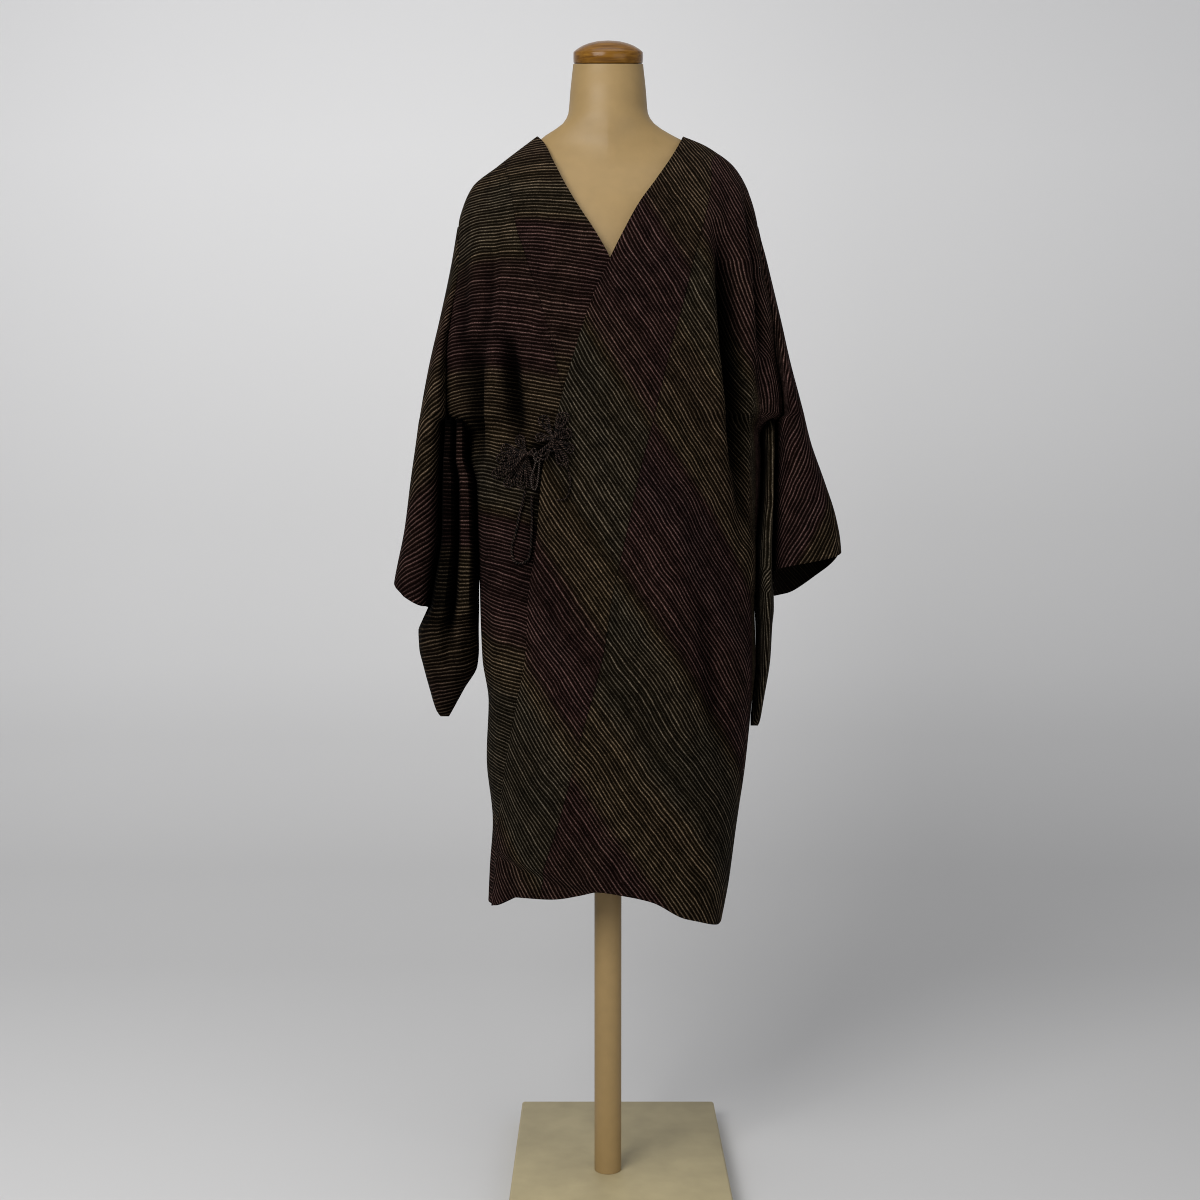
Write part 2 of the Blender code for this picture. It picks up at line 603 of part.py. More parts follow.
def build_wall(name, patches, wall):
    """One closed wall from grids of outer points; points that meet are welded.

    Each patch is a grid, or a pair of a grid and its outward normals.
    """
    index, points, normals, faces, facings = {}, [], [], [], []
    for patch in patches:
        grid, given = patch
        numbers = np.zeros(grid.shape[:2], dtype=int)
        for place in np.ndindex(grid.shape[:2]):
            key = tuple(np.round(grid[place] / WELD).astype(int))
            if key not in index:
                index[key] = len(points)
                points.append(grid[place])
                normals.append(np.zeros(3))
                facings.append([])
            numbers[place] = index[key]
            normals[index[key]] = normals[index[key]] + given[place]
        quads, crossings = [], []
        agreement = 0.0
        for row in range(grid.shape[0] - 1):
            for column in range(grid.shape[1] - 1):
                corners = [numbers[row, column], numbers[row, column + 1],
                           numbers[row + 1, column + 1], numbers[row + 1, column]]
                corners = [c for i, c in enumerate(corners) if c != corners[i - 1]]
                if len(set(corners)) < 3:
                    continue
                slant = points[corners[2]] - points[corners[0]]
                crossings.append(np.cross(slant, points[corners[-1]] - points[corners[1]]))
                agreement += float(np.dot(crossings[-1], given[row, column]))
                quads.append(corners)
        turned = 1 if agreement > 0 else -1
        for quad, crossing in zip(quads, crossings):
            faces.append(quad[::turned])
            for corner in quad:
                facings[corner].append(turned * crossing / np.linalg.norm(crossing))
    count = len(points)
    outer = np.array(points)
    direction = np.array(normals)
    direction /= np.linalg.norm(direction, axis=1, keepdims=True)
    lean = [np.mean(np.array(facing) @ axis) for facing, axis in zip(facings, direction)]
    inner = outer - direction * (wall / np.clip(lean, MITRE_LIMIT, 1.0))[:, None]
    edges = {(face[i - 1], face[i]) for face in faces for i in range(len(face))}
    rim = [(b, a, a + count, b + count) for a, b in edges if (b, a) not in edges]
    back = [tuple(c + count for c in face[::-1]) for face in faces]
    mesh = bpy.data.meshes.new(name)
    mesh.from_pydata(np.concatenate([outer, inner]).tolist(), [], [tuple(f) for f in faces] + back + rim)
    mesh.update()
    mesh.shade_smooth()
    mesh.set_sharp_from_angle(angle=math.radians(40))
    return bpy.data.objects.new(name, mesh)


def own_normals(patches):
    """Normals for welded grids, taken from the faces of all of them together."""
    sums = {}
    for grid, flip in patches:
        for row in range(grid.shape[0] - 1):
            for column in range(grid.shape[1] - 1):
                corners = [grid[row, column], grid[row, column + 1], grid[row + 1, column + 1],
                           grid[row + 1, column]]
                normal = np.cross(corners[2] - corners[0], corners[3] - corners[1]) * flip
                length = np.linalg.norm(normal)
                if length < 1e-12:
                    continue
                for corner in corners:
                    key = tuple(np.round(corner / WELD).astype(int))
                    sums[key] = sums.get(key, 0) + normal / length
    result = []
    for grid, flip in patches:
        normals = np.zeros_like(grid)
        for place in np.ndindex(grid.shape[:2]):
            normals[place] = sums[tuple(np.round(grid[place] / WELD).astype(int))]
        normals /= np.maximum(np.linalg.norm(normals, axis=-1, keepdims=True), 1e-9)
        result.append((grid, normals))
    return result


def material(name, colour, roughness, metallic=0.0):
    finish = bpy.data.materials.new(name)
    finish.use_nodes = True
    shader = finish.node_tree.nodes["Principled BSDF"]
    shader.inputs["Base Color"].default_value = (*colour, 1.0)
    shader.inputs["Roughness"].default_value = roughness
    shader.inputs["Metallic"].default_value = metallic
    return finish


def place(thing, finish, collection):
    thing.data.materials.append(finish)
    collection.objects.link(thing)
    return thing


def make_cloth(cloth, collection):
    for side, layer in (("left", "over"), ("right", "under")):
        patches = [panel(side, layer, 18 if side == "left" else 14), panel(side, "back", 8)]
        place(build_wall("body_" + side, patches, WALL), cloth, collection)
        grids = sleeve_patches(side)
        flips = [-SIGN[side], -SIGN[side], SIGN[side], SIGN[side]]
        place(build_wall("sleeve_" + side, own_normals(list(zip(grids, flips))), WALL), cloth, collection)
    place(build_wall("collar_band", [collar_grid(4)], BAND_WALL), cloth, collection)


def tube(name, points, radius, closed):
    """Round tube through points, as a bevelled poly curve."""
    curve = bpy.data.curves.new(name, "CURVE")
    curve.dimensions = "3D"
    curve.resolution_u = 1
    curve.bevel_depth = radius
    curve.bevel_resolution = 1
    curve.use_fill_caps = not closed
    spline = curve.splines.new("POLY")
    spline.points.add(len(points) - 1)
    for point, place_at in zip(spline.points, points):
        point.co = (*place_at, 1.0)
    spline.use_cyclic_u = closed
    return bpy.data.objects.new(name, curve)


def smooth_path(points, steps):
    """Evenly many points on a smooth curve through a route."""
    route = np.array(points, dtype=float)
    length = np.concatenate([[0], np.cumsum(np.linalg.norm(np.diff(route, axis=0), axis=1))])
    rows = [(s, *p) for s, p in zip(length, route)]
    names = "s " + " ".join("c%d" % i for i in range(route.shape[1]))
    source = table(names, rows)
    at = np.linspace(0, length[-1], steps)
    return np.stack([read(source, "c%d" % i, at) for i in range(route.shape[1])], axis=-1)


# Interlaced knots, each lying on one front: centre, then half width and half height
KNOTS = {
    "knot_over": ("over", -0.0660, 0.9710, 0.0250, 0.0300),
    "knot_under": ("under", -0.1160, 0.9430, 0.0320, 0.0270),
}


def rosette(layer, centre_x, centre_z, half_width, half_height):
    """Closed interlaced knot lying on a front: its lobes cross over and under in turn."""
    t = np.linspace(0, 2 * math.pi * LOBE_TURNS, KNOT_POINTS, endpoint=False)
    wave = LOBES * t / LOBE_TURNS
    radius = LOBE_MEAN + LOBE_WAVE * np.cos(wave)
    height = KNOT_CLEAR + KNOT_RADIUS + KNOT_RISE * (1 + np.sin(wave))
    x = centre_x + half_width * radius * np.cos(t)
    z = centre_z + half_height * radius * np.sin(t)
    return on_front(x, z, layer, height)


# Hanging cords: x, z and height over their layer
LONG_LOOP = [(-0.0990, 0.9100, 0.0060), (-0.1060, 0.8850, 0.0030), (-0.1110, 0.8600, 0.0028),
             (-0.1170, 0.8380, 0.0028), (-0.1150, 0.8270, 0.0028), (-0.1060, 0.8230, 0.0028),
             (-0.0970, 0.8280, 0.0028), (-0.0940, 0.8420, 0.0028), (-0.0925, 0.8700, 0.0028),
             (-0.0920, 0.9050, 0.0060)]


def make_cords(cord, collection):
    for name, shape in KNOTS.items():
        place(tube(name, rosette(*shape), KNOT_RADIUS, True), cord, collection)
    route = smooth_path(LONG_LOOP, LOOP_POINTS)
    points = on_front(route[:, 0], route[:, 1], "under", route[:, 2])
    place(tube("cord_loop", points, CORD_RADIUS, False), cord, collection)


def form_ring(z):
    """Level ring of the torso. Near the top of the neck the rings lean forward, to carry the cap."""
    angles = np.linspace(0, 2 * math.pi, FORM_SIDES, endpoint=False)
    power = 2 / float(read(FORM, "squareness", z))
    width = np.where(np.cos(angles) < 0, read(FORM, "right", z), read(FORM, "left", z))
    x = width * np.sign(np.cos(angles)) * np.abs(np.cos(angles)) ** power
    y = read(FORM, "depth", z) * np.sign(np.sin(angles)) * np.abs(np.sin(angles)) ** power
    lean = math.radians(CAP_LEAN) * float(ramp(NECK_BEND, CAP_BOTTOM, z))
    return [(float(a), float(b) * math.cos(lean), z + float(b) * math.sin(lean)) for a, b in zip(x, y)]


def make_form(cream, wood, collection):
    mesh = bmesh.new()
    rings = [[mesh.verts.new(point) for point in form_ring(z)] for z in FORM_ROWS]
    for low, high in zip(rings, rings[1:]):
        for i in range(FORM_SIDES):
            mesh.faces.new((low[i - 1], low[i], high[i], high[i - 1]))
    mesh.faces.new(rings[0][::-1])
    mesh.faces.new(rings[-1])
    data = bpy.data.meshes.new("form_torso")
    mesh.to_mesh(data)
    mesh.free()
    data.shade_smooth()
    data.set_sharp_from_angle(angle=math.radians(50))
    place(bpy.data.objects.new("form_torso", data), cream, collection)

    profile = bpy.data.meshes.new("form_cap")
    points = [(radius, 0.0, height) for radius, height in reversed(CAP_PROFILE)]
    profile.from_pydata(points, [(i, i + 1) for i in range(len(points) - 1)], [])
    cap = place(bpy.data.objects.new("form_cap", profile), wood, collection)
    cap.location.z = CAP_BOTTOM
    cap.rotation_euler.x = math.radians(CAP_LEAN)
    screw = cap.modifiers.new("Turned", "SCREW")
    screw.steps = screw.render_steps = FORM_SIDES
    screw.use_merge_vertices = True
    screw.merge_threshold = 0.0001
    screw.use_smooth_shade = True

    bpy.ops.mesh.primitive_cylinder_add(vertices=FORM_SIDES, radius=POLE_RADIUS, depth=1.0)
    pole = bpy.context.object
    low, high = BASE_SIZE[2] + SEAM_GAP, FORM_ROWS[0] - SEAM_GAP
    pole.dimensions.z = high - low
    pole.location.z = (low + high) / 2
    settle(pole, "form_pole", cream, collection)

    bpy.ops.mesh.primitive_cube_add(size=1.0)
    base = bpy.context.object
    base.dimensions = BASE_SIZE
    base.location = (BASE_SHIFT, 0.0, BASE_SIZE[2] / 2)
    settle(base, "form_base", cream, collection)
    bevel = base.modifiers.new("Edges", "BEVEL")
    bevel.width = 0.003
    bevel.segments = 2


def settle(thing, name, finish, collection):
    """Apply a primitive's scale, name it and move it to the part's collection."""
    bpy.ops.object.transform_apply(location=False, rotation=False, scale=True)
    thing.name = name
    thing.data.name = name
    for holder in list(thing.users_collection):
        holder.objects.unlink(thing)
    place(thing, finish, collection)


def main():
    for thing in list(bpy.data.objects):
        bpy.data.objects.remove(thing)
    collection = bpy.data.collections.new("kimono_coat_on_form")
    bpy.context.scene.collection.children.link(collection)
    cloth = material("striped_cloth", (0.045, 0.035, 0.030), 0.75)
    cord = material("twisted_cord", (0.035, 0.025, 0.025), 0.70)
    cream = material("cream_form", (0.80, 0.70, 0.50), 0.55)
    wood = material("turned_wood", (0.42, 0.20, 0.09), 0.35)
    make_cloth(cloth, collection)
    make_cords(cord, collection)
    make_form(cream, wood, collection)


main()
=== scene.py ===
"""Looks of the kimono coat on its dress form: fine cloth, stripes, cords, form and studio light.

Metres, +Z up. +X is the wearer's left, -Y the front. The tables of sections repeat the part's own,
so each fine cloth lies where its solid does.
"""
import math

import bpy
import numpy as np
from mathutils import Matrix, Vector

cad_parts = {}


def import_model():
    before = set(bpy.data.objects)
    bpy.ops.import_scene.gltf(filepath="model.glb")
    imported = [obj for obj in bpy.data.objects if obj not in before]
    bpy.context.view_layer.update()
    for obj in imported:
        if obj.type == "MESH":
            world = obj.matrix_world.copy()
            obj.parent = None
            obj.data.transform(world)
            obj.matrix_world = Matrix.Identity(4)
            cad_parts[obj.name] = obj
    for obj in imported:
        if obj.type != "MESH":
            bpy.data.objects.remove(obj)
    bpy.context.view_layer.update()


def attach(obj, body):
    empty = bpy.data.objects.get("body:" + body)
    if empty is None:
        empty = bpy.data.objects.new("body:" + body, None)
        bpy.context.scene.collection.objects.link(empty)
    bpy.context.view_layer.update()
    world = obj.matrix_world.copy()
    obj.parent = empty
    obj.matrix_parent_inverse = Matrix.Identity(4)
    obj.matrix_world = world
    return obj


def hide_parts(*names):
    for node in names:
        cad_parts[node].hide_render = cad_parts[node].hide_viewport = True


# Cloth walls, gaps and the fineness of the grids
WALL = 0.0018
BAND_WALL = 0.0026
SEAM_GAP = 0.0003
SQUARENESS = 2.4
MITRE_LIMIT = 0.4
STEP = 0.002
WELD = 5e-5
TINY = 1e-9
LEAST = 1e-15
CELL = 0.004
FRONTS = (("left", "over", 64), ("right", "under", 56))
BACK_CELLS = 48
BAND_CELLS = 24
OUTER_CELLS = 36
STRIP_CELLS = 14

# Where the fronts cross, and how the over-front's edge stands off below that
LAYER_LIFT = 0.004
CROSS_LOW = 1.200
CROSS_HIGH = 1.260
CROSS_REACH = 0.040
EDGE_STAND = 0.008
STAND_SPREAD = 0.022
STAND_LOW = (0.700, 0.800)
STAND_HIGH = (0.930, 1.000)
FOLD_FADE = 0.7
SIDE_START = 0.90

# Neckline: the band's seam and its free edge
NECK_SEAM_BACK = 1.290
NECK_EDGE_BACK = 1.348
NECK_EDGE_DEPTH = 0.088
EDGE_TOP = 1.3625
SEAM_TOP = {"left": 1.3415, "right": 1.3270}
RISE_START = 1.150

# Sleeves below the armhole: strips beside the body, groove, cuff and pouch
FURI_TOP = 0.999
SHELF_LOW = 0.985
SHELF_HIGH = 1.008
SHELF_GAP = 0.0008
STRIP_LIFT = 0.006
LIFT_POWER = 6
FURI_HALF = 0.030
STRIP_DEPTH = 0.055
STRIP_CLEAR = 0.0012
GROOVE_FLOOR = 0.0024
BACK_SHARE = 0.85
POUCH_DROP = 0.026
POUCH_TIP = 0.007
POUCH_DIP = 0.55
POUCH_SHARE = 0.92
POUCH_BLUNT = 0.7
VALLEY_WIDTH = 0.1
VALLEY_RISE = (0.660, 0.750)
SEAM_OPENS = (0.785, 0.820)
CUFF_START = 0.900
LOOSE_LOW = 1.020
LOOSE_HIGH = 1.200
CREST_BLUNT = 0.8
START_FADE = 1.5


def table(names, rows):
    """Columns by name. The first column is the key, and rows are put in its order."""
    data = np.array(sorted(rows), dtype=float)
    columns = {name: data[:, i] for i, name in enumerate(names.split())}
    columns["key"] = data[:, 0]
    return columns


def read(source, name, at):
    """A column at any key, on a smooth curve that never overshoots its rows."""
    keys, values = source["key"], source[name]
    at = np.clip(at, keys[0], keys[-1])
    steps = np.diff(values) / np.diff(keys)
    slopes = np.concatenate([steps[:1], np.zeros(len(keys) - 2), steps[-1:]])
    agree = steps[:-1] * steps[1:] > 0
    total = np.where(agree, steps[:-1] + steps[1:], 1.0)
    slopes[1:-1] = np.where(agree, 2 * steps[:-1] * steps[1:] / total, 0.0)
    i = np.clip(np.searchsorted(keys, at) - 1, 0, len(keys) - 2)
    span = keys[i + 1] - keys[i]
    t = (at - keys[i]) / span
    start = (1 + 2 * t) * (1 - t) ** 2 * values[i] + t * (1 - t) ** 2 * span * slopes[i]
    end = t ** 2 * (3 - 2 * t) * values[i + 1] + t ** 2 * (t - 1) * span * slopes[i + 1]
    return start + end


def ramp(low, high, at):
    """0 before low, 1 after high, smooth between."""
    t = np.clip((at - low) / (high - low), 0.0, 1.0)
    return t * t * (3 - 2 * t)


# Half widths to the wearer's right and left, and half depths, of the coat's tube
RINGS = table("z right left front back", [
    (0.365, 0.156, 0.1425, 0.115, 0.120),
    (0.430, 0.153, 0.1545, 0.117, 0.121),
    (0.490, 0.149, 0.1650, 0.119, 0.122),
    (0.570, 0.156, 0.1770, 0.122, 0.124),
    (0.645, 0.153, 0.1845, 0.124, 0.125),
    (0.700, 0.161, 0.1890, 0.125, 0.126),
    (0.770, 0.1635, 0.1870, 0.125, 0.126),
    (0.825, 0.1645, 0.1860, 0.125, 0.125),
    (0.870, 0.166, 0.1900, 0.125, 0.125),
    (0.925, 0.167, 0.1940, 0.125, 0.125),
    (0.955, 0.176, 0.1945, 0.125, 0.125),
    (0.985, 0.176, 0.1930, 0.125, 0.125),
    (0.997, 0.185, 0.2030, 0.125, 0.125),
    (1.008, 0.205, 0.2225, 0.125, 0.125),
    (1.020, 0.207, 0.2235, 0.125, 0.125),
    (1.088, 0.206, 0.2130, 0.125, 0.126),
    (1.130, 0.2005, 0.2095, 0.122, 0.126),
    (1.200, 0.192, 0.1965, 0.113, 0.119),
    (1.250, 0.189, 0.1885, 0.100, 0.108),
    (1.270, 0.1840, 0.1840, 0.092, 0.100),
    (1.295, 0.1725, 0.1755, 0.079, 0.086),
    (1.3205, 0.142, 0.1610, 0.060, 0.066),
    (1.3455, 0.1117, 0.1292, 0.038, 0.042),
    (1.3625, 0.0905, 0.0955, 0.020, 0.024),
])

# Where the collar band's free edge and its seam lie across the front, over and under. Low down, where
# the over-front hides them, those of the under-front are the mirror image.
EDGES = table("z over_edge over_seam under_edge under_seam", [
    (1.3625, 0.0955, 0.1400, -0.0905, -0.1400),
    (1.3450, 0.0885, 0.1400, -0.0790, -0.1400),
    (1.3190, 0.0755, 0.1275, -0.0685, -0.1285),
    (1.2870, 0.0563, 0.1245, -0.0545, -0.1215),
    (1.2570, 0.0366, 0.1185, -0.0385, -0.1155),
    (1.2200, 0.0172, 0.1095, -0.0155, -0.1080),
    (1.1900, 0.0030, 0.1025, 0.0010, -0.0985),
    (1.1390, -0.0195, 0.0905, 0.0185, -0.0825),
    (1.0780, -0.0396, 0.0735, 0.0396, -0.0665),
    (1.0130, -0.0580, 0.0576, 0.0580, -0.0525),
] + [(z, edge, seam, -edge, -seam) for z, edge, seam in [
    (0.9330, -0.0759, 0.0372), (0.8430, -0.0836, 0.0177), (0.7880, -0.0917, 0.0053),
    (0.7170, -0.0982, -0.0055), (0.6110, -0.1180, -0.0332), (0.5230, -0.1320, -0.0553),
    (0.4640, -0.1395, -0.0725), (0.4110, -0.1460, -0.0870),
]])

# Hem height across the front
HEM = table("x z", [
    (-0.153, 0.385), (-0.117, 0.4085), (-0.070, 0.4110), (-0.033, 0.4184), (-0.014, 0.4246),
    (0.019, 0.4196), (0.051, 0.4113), (0.090, 0.3887), (0.1125, 0.3800), (0.142, 0.3660),
])
HEM_BACK = 0.370
HEM_TURN_BACK = 0.3
HEM_TURN_FRONT = 0.1
HEM_ROW = 0.400
HEM_TOP = 0.500

# Armhole edge: how far round the side the cloth reaches, 1 is the side itself
ARMHOLE = table("z turn", [
    (0.985, 1.00), (0.997, 1.00), (1.008, 0.90), (1.030, 0.87), (1.170, 0.87), (1.210, 0.885),
    (1.235, 0.91), (1.246, 0.94), (1.248, 1.00), (1.270, 1.00),
])

# Folds of each layer: x and z of the top and of the bottom, half width and height (below 0 is a valley)
FOLDS = {
    "over": [
        (0.1080, 1.330, 0.1520, 0.880, 0.014, 0.009), (0.1380, 1.080, 0.1800, 0.780, 0.014, 0.006),
        (0.1330, 1.240, 0.1700, 0.840, 0.013, -0.024), (0.1600, 1.300, 0.1840, 1.060, 0.009, 0.005),
        (0.1850, 1.200, 0.1900, 1.010, 0.009, -0.006), (0.0520, 0.880, 0.1230, 0.400, 0.016, 0.007),
        (0.1050, 0.820, 0.1450, 0.520, 0.014, -0.007),
    ],
    "under": [
        (-0.1120, 1.270, -0.1480, 0.960, 0.014, 0.008), (-0.1380, 1.220, -0.1640, 0.980, 0.010, -0.008),
        (-0.1280, 1.110, -0.1100, 0.968, 0.013, -0.017), (-0.1700, 1.100, -0.1620, 0.940, 0.011, -0.014),
        (-0.1800, 1.240, -0.1830, 1.010, 0.010, -0.006), (-0.1500, 0.900, -0.1180, 0.560, 0.010, 0.005),
    ],
    "back": [
        (0.1250, 1.220, 0.1300, 0.420, 0.020, 0.007), (0.0700, 1.120, 0.0800, 0.450, 0.022, -0.006),
        (-0.1200, 1.220, -0.1250, 0.420, 0.020, 0.007), (-0.0600, 1.120, -0.0750, 0.450, 0.022, -0.006),
    ],
}

# Shallow creases and soft waves between the folds, written alike, only in the fine cloth
CREASES = {
    "over": [
        (0.0600, 1.330, 0.0200, 1.150, 0.010, 0.0018), (0.0900, 1.250, 0.0600, 1.020, 0.011, -0.0016),
        (0.0300, 1.120, -0.0400, 0.930, 0.011, 0.0016), (-0.0150, 1.020, -0.0550, 0.880, 0.009, -0.0018),
        (-0.0550, 0.960, -0.0850, 0.720, 0.008, 0.0016), (0.1000, 0.990, 0.0700, 0.720, 0.012, 0.0020),
        (0.0000, 0.760, -0.0700, 0.500, 0.012, 0.0018), (0.0650, 0.700, 0.0250, 0.440, 0.013, -0.0020),
        (-0.0300, 0.640, -0.0650, 0.430, 0.010, 0.0022), (0.1350, 0.640, 0.1250, 0.400, 0.011, 0.0024),
        (0.1750, 0.980, 0.1700, 0.640, 0.009, 0.0024), (0.1690, 1.290, 0.1910, 1.080, 0.006, -0.0090),
        (0.1390, 1.190, 0.1550, 0.930, 0.010, -0.0110), (0.1300, 1.310, 0.1420, 1.180, 0.007, 0.0030),
        (0.0820, 1.330, 0.0880, 1.230, 0.007, 0.0028),
    ],
    "under": [
        (-0.1240, 1.100, -0.1120, 0.985, 0.008, -0.0080), (-0.0800, 1.300, -0.1000, 1.120, 0.010, 0.0016),
        (-0.0600, 1.220, -0.0850, 1.040, 0.009, -0.0016), (-0.1550, 1.180, -0.1500, 1.030, 0.006, 0.0018),
        (-0.1450, 1.010, -0.1280, 0.950, 0.006, 0.0022), (-0.1500, 0.930, -0.1200, 0.740, 0.008, 0.0024),
        (-0.1250, 0.900, -0.1000, 0.660, 0.007, -0.0022), (-0.1450, 0.760, -0.1300, 0.500, 0.008, 0.0020),
    ],
    "back": [
        (0.0300, 1.220, 0.0200, 0.900, 0.014, 0.0020), (-0.0250, 1.180, -0.0200, 0.700, 0.014, -0.0020),
        (0.0950, 0.820, 0.1050, 0.420, 0.012, -0.0022), (-0.0950, 0.860, -0.1000, 0.430, 0.012, 0.0022),
        (0.1600, 1.150, 0.1550, 0.700, 0.010, 0.0020), (-0.1550, 1.100, -0.1500, 0.650, 0.010, -0.0020),
    ],
}

# Slight unevenness of the cloth: its height, and the two crossing waves along x and z with their start
SWAY = 0.0005
WAVES = ((47, 13, 1.0), (-19, 29, 0.0))

# Lower left corner of the over-front, creased and set back towards the legs
DENT = table("x z depth", [
    (-0.148, 0.470, 0.002), (-0.125, 0.463, 0.010), (-0.090, 0.452, 0.012), (-0.045, 0.438, 0.011),
    (-0.010, 0.427, 0.004), (0.015, 0.420, 0.000),
])
DENT_WIDTH = 0.016

# Sleeve sections: outline, deep groove beside the body's strips, and depths of crest and groove
SLEEVES = {
    "left": table("z outer groove crest pit", [
        (0.811, 0.3000, 0.2110, 0.052, 0.016),
        (0.850, 0.2970, 0.2110, 0.052, 0.014),
        (0.882, 0.2905, 0.2115, 0.053, 0.012),
        (0.925, 0.2760, 0.2120, 0.055, 0.012),
        (0.975, 0.2575, 0.2125, 0.058, 0.014),
        (1.008, 0.2485, 0.2125, 0.060, 0.016),
        (1.068, 0.2325, 0.2100, 0.058, 0.050),
        (1.130, 0.2195, 0.2060, 0.052, 0.048),
        (1.207, 0.2015, 0.1940, 0.040, 0.044),
        (1.235, 0.1930, 0.1890, 0.020, 0.030),
        (1.250, 0.1895, 0.1885, 0.004, 0.010),
    ]),
    "right": table("z outer groove crest pit", [
        (0.766, 0.2780, 0.2290, 0.045, 0.018),
        (0.801, 0.2730, 0.2230, 0.048, 0.014),
        (0.864, 0.2600, 0.2140, 0.050, 0.012),
        (0.925, 0.2515, 0.2130, 0.054, 0.012),
        (0.975, 0.2440, 0.2095, 0.056, 0.014),
        (1.008, 0.2390, 0.2080, 0.058, 0.016),
        (1.068, 0.2280, 0.2030, 0.056, 0.050),
        (1.130, 0.2145, 0.1980, 0.050, 0.048),
        (1.207, 0.1985, 0.1870, 0.040, 0.044),
        (1.235, 0.1935, 0.1885, 0.020, 0.030),
        (1.250, 0.1905, 0.1890, 0.004, 0.010),
    ]),
}

# Lower edge of the cuff mouth in front and behind, from the groove (0) to the outer fold (1)
MOUTHS = {
    "left": table("across front back", [
        (0.0, 0.811, 0.811), (0.13, 0.815, 0.778), (0.35, 0.820, 0.781), (0.7, 0.829, 0.811),
        (1.0, 0.838, 0.838),
    ]),
    "right": table("across front back", [
        (0.0, 0.766, 0.764), (0.35, 0.772, 0.764), (0.7, 0.788, 0.776), (1.0, 0.801, 0.801),
    ]),
}

# Sewn pouch under the mouth: inner and outer limit and half depth
POUCHES = {
    "left": table("z inner outer depth", [
        (0.612, 0.1840, 0.1935, 0.000), (0.618, 0.1838, 0.1960, 0.012), (0.648, 0.1862, 0.2010, 0.028),
        (0.702, 0.1903, 0.2090, 0.040), (0.742, 0.1896, 0.2110, 0.046), (0.764, 0.1885, 0.2130, 0.050),
        (0.811, 0.1876, 0.2110, 0.055),
    ]),
    "right": table("z inner outer depth", [
        (0.624, 0.2050, 0.2160, 0.000), (0.631, 0.2010, 0.2210, 0.010), (0.660, 0.1850, 0.2300, 0.024),
        (0.690, 0.1680, 0.2380, 0.034), (0.712, 0.1660, 0.2430, 0.040), (0.735, 0.1662, 0.2440, 0.044),
        (0.755, 0.1662, 0.2330, 0.048), (0.766, 0.1656, 0.2290, 0.050),
    ]),
}

# Strips in which a sleeve's open side hangs, the shape across one, and each side's sign along X
STRIPS = {"left": 1, "right": 2}
STRIP_SHAPE = table("across rise", [
    (0.00, 0.00), (0.16, 0.69), (0.30, 0.965), (0.70, 0.965), (0.84, 0.69), (1.00, 0.00),
])
SIGN = {"left": 1.0, "right": -1.0}

# Heights of the grids' rows, which evenly spaced ones fill up
SKIRT_ROWS = [0.400, 0.418, 0.438, 0.462, 0.500, 0.550, 0.600, 0.650, 0.700, 0.750, 0.800, 0.850,
              0.895, 0.930, 0.960, 0.985, 0.997]
ARM_ROWS = [1.008, 1.030, 1.060, 1.095, 1.130, 1.170, 1.210, 1.235, 1.246, 1.248]
SHOULDER_ROW = 1.270
NECK_TURNS = [90, 60, 40, 25, 12, 0]
NECK_STEP = 3.0
SLEEVE_ROWS = [1.246, 1.235, 1.210, 1.170, 1.130, 1.095, 1.060, 1.030, 1.008, FURI_TOP, 0.985, 0.965,
               0.935, 0.900, 0.870, 0.840, 0.815, 0.790]

